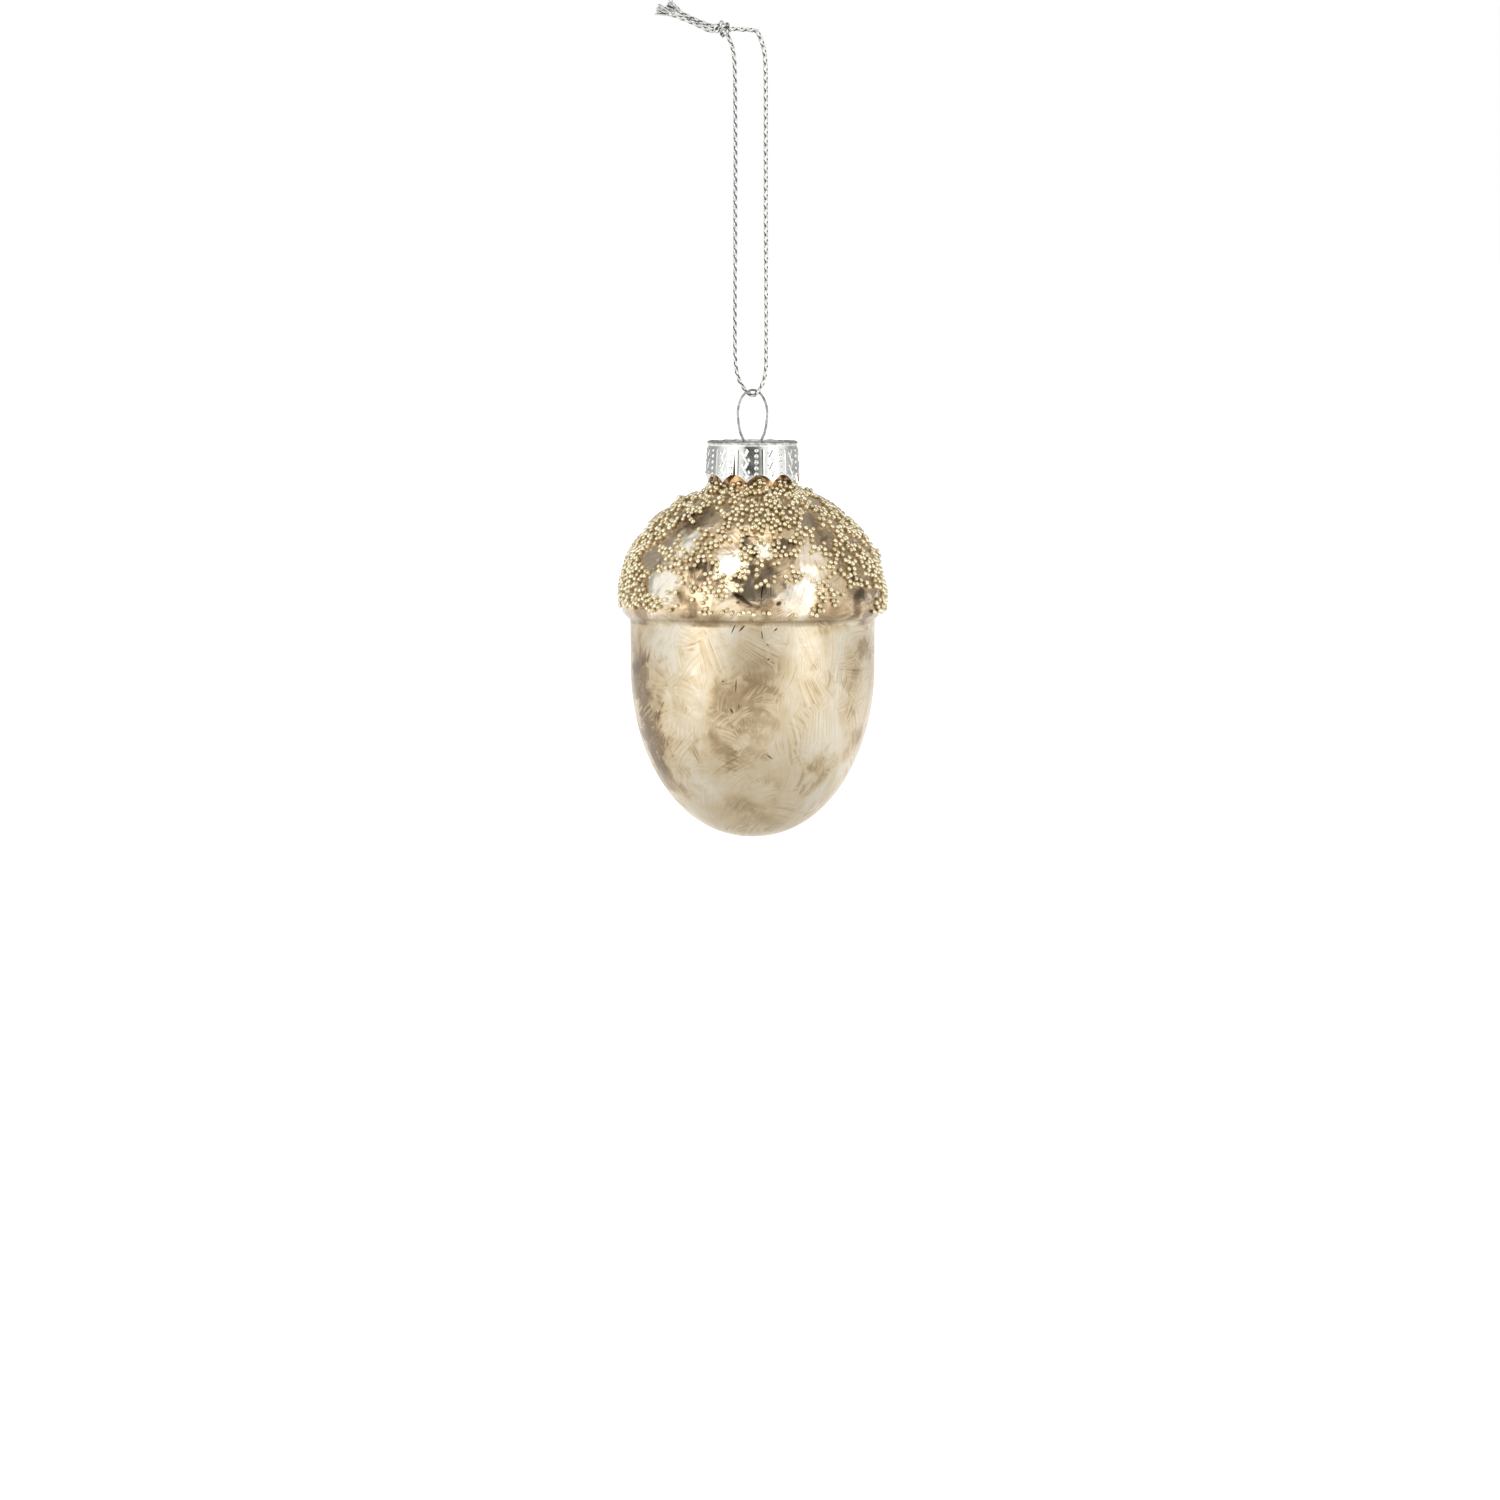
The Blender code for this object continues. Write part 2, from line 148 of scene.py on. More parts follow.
# The lacquer's cracks: X, Y, Z, half width and half length in millimetres, and how many degrees they
# lean to the right.
SLITS = (
    (-3.8, -24.1, -118.2, 0.15, 1.2, 25),
    (-2.1, -24.3, -118.1, 0.20, 0.9, 42),
    (1.9, -24.4, -119.4, 0.13, 0.9, -8),
    (4.6, -24.0, -118.4, 0.18, 0.5, 50),
    (3.0, -24.3, -121.4, 0.12, 0.4, -40),
    (-2.0, -26.1, -112.2, 0.50, 3.0, -56),
    (5.2, -25.8, -113.1, 0.65, 0.5, -30),
    (1.9, -26.1, -110.6, 0.18, 2.1, 6),
    (-3.3, -24.2, -129.5, 0.14, 1.4, 3),
    (-4.1, -23.8, -134.6, 0.22, 0.7, -35),
    (-2.7, -24.0, -133.7, 0.11, 0.6, -4),
    (3.2, -24.1, -124.3, 0.17, 0.3, 60),
    (3.4, -21.4, -143.9, 0.14, 0.9, -50),
    (-5.9, -23.7, -128.7, 0.20, 0.2, 10),
)

# The lacquer's crystals, in three sizes: how wide in millimetres, how fine their hairs, and a shift
# that keeps the three apart.
FAN_LAYERS = ((16, 44.0, 0.0), (9, 28.0, 0.31), (5.0, 17.0, 0.57))
FAN_ROOT = 1.3  # how far off its own middle a fan has its root, as a share of its size

# Crown cap
CAP_LOW, CAP_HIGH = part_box("crown_cap")
RIM_Z = CAP_HIGH[2]
LID_Z = RIM_Z - 0.3 * MM
LID_RADIUS = 8.1 * MM
SKIRT_TOP_RADIUS = 9.1 * MM
SKIRT_FOOT_RADIUS = 9.45 * MM
NOTCH_TOP_Z = LID_Z - 6.35 * MM
TOOTH_TIP_Z = CAP_LOW[2]
TEETH = 11
FIRST_TIP = math.radians(-7.0)
PITCH = 2 * math.pi / TEETH
SHEET = 0.25 * MM
PATTERN_INSET = 0.12 * MM  # of the plain sheet, so that the pattern stands out from there
WIRE_HOLE_X = 1.75 * MM
WIRE_HOLE_RADIUS = 0.7 * MM
COLUMNS_TO_A_TOOTH = 60
SKIRT_ROWS = 72
RIM_BEAD = 0.42 * MM  # half the rolled rim's height
CRIMP_RADIUS = 7.5 * MM  # the lid is crimped from here out
SLIT_HALF_WIDTH = 0.26 * MM
SLIT_TOP_Z = -83.4 * MM

# The cap's stamped pattern, in millimetres: its heights, and places across from a tooth's middle
PATTERN_LOW, PATTERN_HIGH = -88.9, -82.9
RIB_AT = -2.0
ZIGZAG_AT, ZIGZAG_PITCH = -0.2, 2.45
DIAMOND_PITCH = ZIGZAG_PITCH / 2
PEARLS_AT, PEARL_Z, PEARL_PITCH, PEARL_RADIUS = 1.95, -84.4, 1.2, 0.33
RIB_HEIGHT, ZIGZAG_HEIGHT, PEARL_HEIGHT = 0.07, 0.12, 0.18
RIDGE_WIDTH = 0.15

# Wire eye and legs
WIRE_RADIUS = 0.27 * MM
EYE_HALF_WIDTH = 2.93 * MM
EYE_TOP_Z = -71.47 * MM
EYE_CENTRE_Z = -76.3 * MM
EYE_LOWER_HEIGHT = 6.53 * MM
EYE_FOOT_Z = -81.4 * MM
LEG_ROUTE = (
    (1.74, -81.8),
    (1.62, -82.4),
    (1.75, -83.4),
    (2.35, -85.2),
    (3.35, -88.0),
    (4.6, -91.6),
    (5.5, -94.6),
    (5.8, -96.4),
    (5.65, -97.6),
    (5.1, -98.3),
)

# Cord, its route in millimetres: the loop's points are the frame's own
CORD_STEP = 0.14 * MM  # between two points of its line
BRAID_PITCH = 3.6 * MM
BRAID_RADIUS = 0.27  # of the yarns' middles, in millimetres, and how far they weave in and out
BRAID_WEAVE = 0.05
CORE_RADIUS = 0.24 * MM
YARN_HALF_THICKNESS = 0.125 * MM
SILVER_HALF_WIDTH = 0.30 * MM
DARK_HALF_WIDTH = 0.17 * MM
FRAY_STEPS = 15
FILAMENTS = 60
FILAMENT_RADIUS = 0.085 * MM
LOOP_ROUTE = (
    (-4.9, 0.0, -0.75),
    (-4.35, 0.05, -2.0),
    (-3.85, 0.1, -3.8),
    (-3.55, 0.2, -7.0),
    (-3.45, 0.3, -15.0),
    (-3.4, 0.45, -25.0),
    (-3.45, 0.6, -35.0),
    (-3.45, 0.75, -45.0),
    (-3.5, 0.9, -55.0),
    (-3.5, 1.0, -63.0),
    (-3.3, 1.05, -67.0),
    (-2.75, 1.08, -69.3),
    (-2.0, 1.1, -70.75),
    (-1.0, 0.98, -72.0),
    (0.0, 0.0, -72.6),
    (1.0, -0.98, -72.0),
    (1.75, -1.1, -70.75),
    (2.3, -1.08, -69.3),
    (2.65, -1.05, -67.0),
    (2.75, -1.0, -63.0),
    (2.75, -0.9, -55.0),
    (2.7, -0.75, -45.0),
    (2.65, -0.6, -35.0),
    (2.65, -0.45, -25.0),
    (2.65, -0.3, -15.0),
    (2.6, -0.2, -7.0),
    (2.3, -0.1, -3.6),
    (1.7, -0.05, -1.5),
    (0.95, 0.0, 0.1),
    (-0.2, 0.0, 0.5),
    (-2.2, 0.0, 0.6),
    (-4.0, 0.0, 0.72),
)
TAIL_UPPER = ((-8.0, 0.1, 1.3), (-10.5, 0.2, 2.2), (-13.5, 0.2, 3.55), (-16.6, 0.1, 5.4))
TAIL_LOWER = ((-7.95, -0.1, 0.25), (-10.5, -0.2, 1.3), (-13.5, -0.2, 2.65), (-18.6, -0.3, 4.5))
KNOT_CENTRE = Vector((-6.1, 0.0, 0.85)) * MM
KNOT_ALONG = Vector((-0.89, 0.0, 0.456))  # from the loop towards the two ends
KNOT_TURNS = (  # along the knot and out from its middle in millimetres, and degrees round it
    (1.3, 0.3, 20),
    (0.1, 0.3, 10),
    (-0.9, 0.55, 0),
    (-1.1, 1.0, 55),
    (-0.65, 1.2, 120),
    (-0.1, 1.25, 190),
    (0.5, 1.2, 260),
    (0.75, 0.95, 325),
    (0.2, 0.75, 385),
    (-0.7, 0.7, 430),
)

# Beads
BEAD_RADIUS = 0.495 * MM
BEAD_TRIES = 7000
STACKED_TRIES = 1500  # for beads that lie on others
FIRST_BEADS = 60  # that stick anywhere, before clumps grow from them
LOOSE_SHARE = 0.28  # of the later tries, that stick anywhere too
BEAD_SECTORS = 6  # each a piece of its own
BEAD_SEED = 11
BEAD_LOWEST = 2.4 * MM  # below the cup's widest ring

# Between two beads' middles, and from the glass to a bead's middle, in bead radii
STRIDE, STACKED_STRIDE = (1.98, 2.25), 1.2
CLOSEST_BEADS, NEIGHBOUR_REACH = 1.9, 2.45
BEAD_LIFT, STACKED_LIFT = 0.82, 2.35
MOST_NEIGHBOURS, CROWD_SHARE = 2, 0.8  # past that many neighbours, this share of the tries fails
SUPPORTS = 2  # the fewest beads under a stacked one
DENSE, BARE = 1.0, 0.0

# The front's beaded patches: X and the height seen from the camera, half width and half height, all in
# millimetres, and how beaded. A later patch covers an earlier one.
FRONT_PATCHES = (
    (0.0, -100.0, 30.0, 22.0, 0.66),
    (0.0, -93.5, 9.5, 4.8, DENSE),
    (1.0, -98.5, 7.5, 3.0, DENSE),
    (-13.0, -94.5, 6.0, 3.5, 0.75),
    (-20.0, -101.0, 4.5, 6.5, 0.75),
    (-24.5, -107.0, 3.5, 6.0, 0.8),
    (-11.5, -105.0, 4.8, 3.2, 0.9),
    (-10.2, -110.0, 2.4, 2.2, 0.85),
    (0.5, -104.9, 2.8, 1.5, 0.95),
    (-21.5, -113.0, 6.5, 2.6, 0.8),
    (19.0, -97.5, 6.0, 6.0, 0.85),
    (21.5, -105.5, 4.5, 6.5, 0.75),
    (8.0, -101.5, 6.0, 5.5, 0.9),
    (25.5, -113.0, 2.6, 5.0, 0.75),
    (-8.7, -98.2, 2.7, 2.0, BARE),
    (-13.4, -99.4, 1.9, 1.7, BARE),
    (-4.9, -105.6, 2.0, 3.6, BARE),
    (-20.0, -106.2, 2.3, 1.7, BARE),
    (-15.0, -110.6, 3.0, 1.5, 0.06),
    (-11.0, -113.6, 4.6, 1.5, 0.5),
    (11.0, -98.0, 1.6, 1.6, BARE),
    (13.0, -100.7, 1.3, 1.6, BARE),
    (8.0, -107.2, 8.5, 2.0, 0.3),
    (11.0, -110.3, 7.0, 2.6, 0.55),
    (7.0, -113.5, 6.5, 2.6, BARE),
    (21.0, -113.5, 3.4, 2.6, BARE),
    (-5.0, -114.5, 9.0, 1.6, 0.2),
)


def link_into_scene(name, data, materials=()):
    made = bpy.data.objects.new(name, data)
    SCENE.collection.objects.link(made)
    for material in materials:
        data.materials.append(material)
    return made


def mesh_piece(name, points, faces, materials):
    mesh = bpy.data.meshes.new(name)
    mesh.from_pydata([tuple(p) for p in points], [], faces)
    mesh.polygons.foreach_set("use_smooth", [True] * len(mesh.polygons))
    mesh.update()
    return link_into_scene(name, mesh, materials)


def smooth_curve(points, steps):
    """A Catmull-Rom curve through the points, with that many steps between two of them."""
    points = [Vector(p) for p in points]
    padded = [2 * points[0] - points[1], *points, 2 * points[-1] - points[-2]]
    made = []
    for a, b, c, d in zip(padded, padded[1:], padded[2:], padded[3:]):
        for i in range(steps):
            t = i / steps
            bend = (2 * a - 5 * b + 4 * c - d) * t**2
            made.append(0.5 * (2 * b + (c - a) * t + bend + (3 * b - a - 3 * c + d) * t**3))
    return [*made, points[-1]]


def evenly_spaced(line, spacing):
    """The line again as an array, with points about that far apart."""
    line = np.array([tuple(p) for p in line])
    along = np.concatenate([[0.0], np.cumsum(np.linalg.norm(np.diff(line, axis=0), axis=1))])
    count = max(2, round(along[-1] / spacing) + 1)
    at = np.linspace(0.0, along[-1], count)
    return np.stack([np.interp(at, along, line[:, k]) for k in range(3)], axis=1)


def smoothstep(low, high, x):
    t = min(max((x - low) / (high - low), 0.0), 1.0)
    return t * t * (3 - 2 * t)


# ---------------- shader helpers


def add(tree, kind, values=None, **settings):
    """A shader node, its settings set and its inputs either set or linked."""
    made = tree.nodes.new(kind)
    for name, value in settings.items():
        setattr(made, name, value)
    for key, value in (values or {}).items():
        if isinstance(value, bpy.types.NodeSocket):
            tree.links.new(value, made.inputs[key])
        else:
            made.inputs[key].default_value = value
    return made


def maths(tree, operation, *values):
    return add(tree, "ShaderNodeMath", dict(enumerate(values)), operation=operation).outputs[0]


def vectors(tree, operation, *values):
    node = add(tree, "ShaderNodeVectorMath", operation=operation)
    for key, value in enumerate(values):
        socket = node.inputs["Scale" if operation == "SCALE" and key == 1 else key]
        if isinstance(value, bpy.types.NodeSocket):
            tree.links.new(value, socket)
        else:
            socket.default_value = value
    return node.outputs["Value" if operation in ("DOT_PRODUCT", "LENGTH", "DISTANCE") else "Vector"]


def between(tree, value, low, high, to_low=0.0, to_high=1.0):
    """The value stretched smoothly from low..high to to_low..to_high."""
    inputs = {"Value": value, "From Min": low, "From Max": high, "To Min": to_low, "To Max": to_high}
    return add(tree, "ShaderNodeMapRange", inputs, interpolation_type="SMOOTHSTEP").outputs["Result"]


def mix(tree, factor, a, b):
    node = add(tree, "ShaderNodeMix", {"Factor": factor, "A": a, "B": b}, data_type="FLOAT")
    return node.outputs["Result"]


def mix_colour(tree, factor, a, b):
    node = add(tree, "ShaderNodeMix", data_type="RGBA")
    for key, value in ((0, factor), (6, a), (7, b)):
        if isinstance(value, bpy.types.NodeSocket):
            tree.links.new(value, node.inputs[key])
        else:
            node.inputs[key].default_value = value
    return node.outputs[2]


def grain(tree, place, scale, detail=3.0, roughness=0.5, distortion=0.0):
    inputs = {"Vector": place, "Scale": scale, "Detail": detail}
    inputs |= {"Roughness": roughness, "Distortion": distortion}
    return add(tree, "ShaderNodeTexNoise", inputs).outputs["Fac"]


def ramp(tree, factor, stops):
    node = add(tree, "ShaderNodeValToRGB", {"Fac": factor})
    elements = node.color_ramp.elements
    while len(elements) < len(stops):
        elements.new(0.5)
    for element, (position, colour) in zip(elements, stops):
        element.position = position
        element.color = (*colour, 1.0)
    return node.outputs["Color"]


def bumps(tree, height, strength, distance):
    values = {"Height": height, "Strength": strength, "Distance": distance}
    return add(tree, "ShaderNodeBump", values).outputs["Normal"]


def new_material(name):
    """A material, its tree and shader, and the place on the piece, which its textures follow."""
    made = bpy.data.materials.new(name)
    made.use_nodes = True
    tree = made.node_tree
    place = add(tree, "ShaderNodeTexCoord").outputs["Object"]
    return made, tree, tree.nodes["Principled BSDF"], place


def drive(tree, shader, **sockets):
    """Sets or links the shader's inputs, named with underscores for spaces."""
    for name, value in sockets.items():
        socket = shader.inputs[name.replace("_", " ")]
        if isinstance(value, bpy.types.NodeSocket):
            tree.links.new(value, socket)
        else:
            socket.default_value = value


# ---------------- materials


def fan_hairs(tree, place, across, upward, size, lines, offset):
    """A layer of crystal fans: (each fan's tone, the fine hairs that spread from its root)."""
    moved = vectors(tree, "ADD", place, (offset, offset * 0.7, 0.0))
    scaled = vectors(tree, "SCALE", moved, 1 / size)
    wobble = add(tree, "ShaderNodeTexNoise", {"Vector": scaled, "Scale": 2.4, "Detail": 4.0})
    push = vectors(tree, "SCALE", wobble.outputs["Color"], 0.55)
    pushed = vectors(tree, "ADD", scaled, push)
    soft = {"Vector": pushed, "Scale": 1.0, "Smoothness": 0.35}
    cells = add(tree, "ShaderNodeTexVoronoi", soft, feature="SMOOTH_F1")
    nearest = add(tree, "ShaderNodeTexVoronoi", {"Vector": pushed, "Scale": 1.0}, feature="F1")
    lean = vectors(tree, "SUBTRACT", nearest.outputs["Color"], (0.5, 0.5, 0.5))
    lean_right = vectors(tree, "SCALE", across, vectors(tree, "DOT_PRODUCT", lean, across))
    lean_up = vectors(tree, "SCALE", upward, vectors(tree, "DOT_PRODUCT", lean, upward))
    lean = vectors(tree, "NORMALIZE", vectors(tree, "ADD", lean_right, lean_up))
    lean = vectors(tree, "SCALE", lean, FAN_ROOT)
    away = vectors(tree, "SUBTRACT", vectors(tree, "SUBTRACT", scaled, nearest.outputs["Position"]), lean)
    right = vectors(tree, "DOT_PRODUCT", away, across)
    up = vectors(tree, "DOT_PRODUCT", away, upward)
    reach = vectors(tree, "LENGTH", away)
    hue = add(tree, "ShaderNodeSeparateColor", {"Color": nearest.outputs["Color"]})
    turn = maths(tree, "ADD", maths(tree, "ARCTAN2", right, up), maths(tree, "MULTIPLY", reach, 0.25))
    own_slice = maths(tree, "MULTIPLY", hue.outputs["Blue"], 40.0)
    where = add(
        tree,
        "ShaderNodeCombineXYZ",
        {
            "X": maths(tree, "MULTIPLY", maths(tree, "COSINE", turn), lines),
            "Y": maths(tree, "MULTIPLY", maths(tree, "SINE", turn), lines),
            "Z": maths(tree, "ADD", maths(tree, "MULTIPLY", reach, 1.2), own_slice),
        },
    )
    hairs = grain(tree, where.outputs["Vector"], 1.0, 4.0, 0.58)
    tone = add(tree, "ShaderNodeSeparateColor", {"Color": cells.outputs["Color"]})
    return tone.outputs["Red"], hairs


def mirrored_glass():
    """Champagne mirror seen through clear glass, under a lacquer that has dried in feathered crystals.

    Its colour also holds painted light: painted highlights, reflections and shade among the stains, a
    painted shade band along the crease, and painted reflections in the cup's tones.
    """
    material, tree, shader, place = new_material("mirrored_glass")
    outward = vectors(tree, "SUBTRACT", place, (0.0, 0.0, CUP_CENTRE_Z - 6 * MM))
    outward = vectors(tree, "NORMALIZE", outward)
    across = vectors(tree, "NORMALIZE", vectors(tree, "CROSS_PRODUCT", outward, (0.05, 0.03, 1.0)))
    upward = vectors(tree, "CROSS_PRODUCT", outward, across)
    height = add(tree, "ShaderNodeSeparateXYZ", {"Vector": place}).outputs["Z"]
    cup = between(tree, height, CREASE_Z, CREASE_Z + 3.0 * MM)

    (tone_a, hair_a), (tone_b, hair_b), (tone_c, hair_c) = (
        fan_hairs(tree, place, across, upward, size * MM, lines, offset)
        for size, lines, offset in FAN_LAYERS
    )
    swap_ab = between(tree, grain(tree, place, 80.0, 3.0, 0.6, 0.5), 0.42, 0.58)
    elsewhere = vectors(tree, "ADD", place, (0.2, 0.1, 0.0))
    swap_bc = between(tree, grain(tree, elsewhere, 110.0, 3.0, 0.6, 0.5), 0.48, 0.62)
    tone = mix(tree, swap_bc, mix(tree, swap_ab, tone_a, tone_b), tone_c)
    hair = mix(tree, swap_bc, mix(tree, swap_ab, hair_a, hair_b), hair_c)
    broad = grain(tree, vectors(tree, "ADD", place, (0.07, 0.3, 0.02)), 48.0, 4.0, 0.6, 0.6)
    shade = maths(tree, "ADD", maths(tree, "MULTIPLY", tone, 0.22), maths(tree, "MULTIPLY", hair, 0.66))
    shade = maths(tree, "ADD", shade, maths(tree, "MULTIPLY", broad, 0.45))
    feathery = maths(tree, "ADD", maths(tree, "MULTIPLY", hair, 2.0), maths(tree, "MULTIPLY", tone, 0.8))
    torn = add(tree, "ShaderNodeTexNoise", {"Vector": place, "Scale": 200.0, "Detail": 3.0})
    torn = vectors(tree, "SUBTRACT", torn.outputs["Color"], (0.5, 0.5, 0.5))
    ragged = vectors(tree, "ADD", place, vectors(tree, "SCALE", torn, 13 * MM))
    # Stains with painted light: the lighter entries paint highlights, the darker cup ones paint
    # reflections, two paint shade
    stains_and_painted_light = 0.0
    for x, y, z, reach, depth in STAINS_AND_PAINTED_LIGHT:
        off = vectors(tree, "DISTANCE", ragged, (x * MM, y * MM, z * MM))
        near = maths(tree, "SUBTRACT", 1.0, maths(tree, "DIVIDE", off, reach * MM))
        near = between(tree, maths(tree, "ADD", near, feathery), 1.35, 1.95, 0.0, depth)
        stains_and_painted_light = maths(tree, "ADD", stains_and_painted_light, near)
    shade = maths(tree, "SUBTRACT", shade, stains_and_painted_light)
    # Painted shade: a darker band along the crease, just under the cup's lip, deeper in patches
    crease_shade_top = between(tree, height, CREASE_Z + 2.2 * MM, CREASE_Z + 4.2 * MM, 1.0, 0.0)
    crease_shade_foot = between(tree, height, CREASE_Z - 0.25 * MM, CREASE_Z + 0.15 * MM)
    painted_crease_shade = maths(tree, "MULTIPLY", crease_shade_foot, crease_shade_top)
    crease_shade_depth = between(tree, grain(tree, elsewhere, 130.0, 2.0), 0.42, 0.6, 0.02, 0.22)
    shade = maths(tree, "SUBTRACT", shade, maths(tree, "MULTIPLY", painted_crease_shade, crease_shade_depth))
    shade = between(tree, shade, 0.18, 1.10)
    colour = mix_colour(tree, cup, ramp(tree, shade, NUT_TONES), ramp(tree, shade, CUP_TONES_AND_PAINTED_REFLECTIONS))
    neck = between(tree, height, *LACQUER_ENDS)
    colour = mix_colour(tree, neck, colour, (0.44, 0.27, 0.13, 1.0))
    cracked = 0.0
    for x, y, z, half_width, half_length, lean in SLITS:
        off = vectors(tree, "SUBTRACT", place, (x * MM, y * MM, z * MM))
        turn = {"Vector": off, "Angle": math.radians(-lean)}
        off = add(tree, "ShaderNodeVectorRotate", turn, rotation_type="Y_AXIS").outputs["Vector"]
        shrunk = (1 / (half_width * MM), 0.3 / MM, 1 / (half_length * MM))
        off = vectors(tree, "LENGTH", vectors(tree, "MULTIPLY", off, shrunk))
        off = maths(tree, "ADD", off, maths(tree, "MULTIPLY", hair, 0.6))
        cracked = maths(tree, "MAXIMUM", cracked, between(tree, off, 0.8, 1.5, 1.0, 0.0))
    colour = mix_colour(tree, cracked, colour, (0.06, 0.045, 0.03, 1.0))
    nut_roughness = between(tree, hair, 0.3, 0.7, 0.42, 0.30)
    cup_roughness = between(tree, hair, 0.3, 0.7, 0.24, 0.12)
    roughness = mix(tree, cup, nut_roughness, cup_roughness)
    dents = grain(tree, place, 230.0, 2.0, 0.5)
    dent_height = maths(tree, "MULTIPLY", maths(tree, "MULTIPLY", dents, cup), 8.0)
    relief = maths(tree, "ADD", maths(tree, "ADD", hair, maths(tree, "MULTIPLY", tone, 0.3)), dent_height)
    drive(
        tree,
        shader,
        Base_Color=colour,
        Metallic=0.88,
        Roughness=roughness,
        Normal=bumps(tree, relief, 0.5, 0.09 * MM),
        Coat_Weight=0.18,
        Coat_Roughness=0.02,
        Coat_IOR=1.5,
    )
    return material


def bead_gold():
    material, tree, shader, place = new_material("bead_gold")
    tint = add(tree, "ShaderNodeAttribute", attribute_name="tint").outputs["Fac"]
    golds = ((0.0, (0.60, 0.50, 0.31)), (0.5, (0.76, 0.67, 0.46)), (1.0, (0.88, 0.81, 0.61)))
    colour = ramp(tree, tint, golds)
    smudge = between(tree, grain(tree, place, 1500.0, 2.0), 0.35, 0.7, 0.09, 0.2)
    drive(tree, shader, Base_Color=colour, Metallic=1.0, Roughness=smudge)
    drive(tree, shader, Coat_Weight=0.3, Coat_Roughness=0.03)
    return material


def cap_silver():
    """Thin bright foil-like sheet, scuffed and crumpled round the rolled rim."""
    material, tree, shader, place = new_material("cap_silver")
    parts = add(tree, "ShaderNodeSeparateXYZ", {"Vector": place})
    outward = vectors(tree, "LENGTH", vectors(tree, "MULTIPLY", place, (1.0, 1.0, 0.0)))
    rim = between(tree, parts.outputs["Z"], RIM_Z - 1.0 * MM, RIM_Z - 0.5 * MM)
    rim = maths(tree, "MULTIPLY", rim, between(tree, outward, 7.6 * MM, 8.2 * MM))
    wear = grain(tree, place, 450.0, 4.0, 0.6)
    scuffs = grain(tree, place, 1500.0, 4.0, 0.7)
    colour = ramp(tree, wear, ((0.25, (0.60, 0.60, 0.57)), (0.6, (0.83, 0.83, 0.80))))
    scuffed = ramp(tree, scuffs, ((0.35, (0.26, 0.26, 0.25)), (0.6, (0.74, 0.74, 0.72))))
    colour = mix_colour(tree, rim, colour, scuffed)
    roughness = mix(tree, rim, between(tree, wear, 0.3, 0.7, 0.24, 0.12), 0.34)
    sheet_relief = maths(tree, "MULTIPLY", grain(tree, place, 900.0, 3.0), 0.35)
    relief = mix(tree, rim, sheet_relief, maths(tree, "MULTIPLY", scuffs, 2.5))
    normal = bumps(tree, relief, 1.0, 0.04 * MM)
    drive(tree, shader, Base_Color=colour, Metallic=1.0, Roughness=roughness, Normal=normal)
    return material


def wire_steel():
    material, tree, shader, place = new_material("wire_steel")
    drawn = grain(tree, place, 1400.0, 2.0)
    colour = ramp(tree, drawn, ((0.3, (0.20, 0.20, 0.195)), (0.7, (0.50, 0.50, 0.49))))
    roughness = between(tree, drawn, 0.3, 0.7, 0.16, 0.30)
    drive(tree, shader, Base_Color=colour, Metallic=1.0, Roughness=roughness)
    return material


def cord_silver():
    """Flat metallic yarn: bright, with fine lengthwise filaments."""
    material, tree, shader, place = new_material("cord_silver")
    foil = grain(tree, place, 5200.0, 3.0, 0.7)
    silvers = ((0.3, (0.32, 0.32, 0.30)), (0.5, (0.76, 0.76, 0.73)), (0.75, (0.96, 0.96, 0.94)))
    colour = ramp(tree, foil, silvers)
    normal = bumps(tree, foil, 0.5, 0.04 * MM)
    drive(tree, shader, Base_Color=colour, Metallic=0.75, Roughness=0.28, Normal=normal)
    return material


def cord_painted_reflection():
    """Dark yarn braided in with the silver ones, as painted reflection: it stands for the dark that the
    silver foil reflects.
    """
    material, tree, shader, place = new_material("cord_painted_reflection")
    foil = grain(tree, place, 3000.0, 3.0, 0.7)
    greys = ((0.35, (0.035, 0.036, 0.03)), (0.6, (0.12, 0.12, 0.105)), (0.75, (0.35, 0.35, 0.33)))
    colour = ramp(tree, foil, greys)
    drive(tree, shader, Base_Color=colour, Metallic=0.6, Roughness=0.4)
    return material


# ---------------- studio


def make_camera():
    data = bpy.data.cameras.new("camera")
    data.sensor_width = 36.0
    data.lens = 18.0 * CAMERA_DISTANCE / (VIEW_WIDTH / 2)
    data.clip_start, data.clip_end = 0.1, 30.0
    camera = link_into_scene("camera", data)
    back = Vector((0.0, -math.cos(CAMERA_ELEVATION), math.sin(CAMERA_ELEVATION)))
    camera.location = AIM + back * CAMERA_DISTANCE
    camera.rotation_euler = (-back).to_track_quat("-Z", "Y").to_euler()
    SCENE.camera = camera


def make_floor():
    """A white floor that glows, with painted shade: its glow is dimmer right under the ornament."""
    bm = bmesh.new()
    bmesh.ops.create_circle(bm, cap_ends=True, segments=64, radius=12.0)
    mesh = bpy.data.meshes.new("floor")
    bm.to_mesh(mesh)
    bm.free()
    material, tree, shader, place = new_material("floor_white")
    floor_glow_with_painted_shade = between(tree, vectors(tree, "LENGTH", place), 0.2, 0.6, 0.22, 0.70)
    drive(
        tree,
        shader,
        Base_Color=(0.8, 0.8, 0.8, 1.0),
        Roughness=0.9,
        Emission_Color=(1.0, 1.0, 1.0, 1.0),
        Emission_Strength=floor_glow_with_painted_shade,
    )
    floor = link_into_scene("floor", mesh, [material])
    floor.location.z = FLOOR_Z


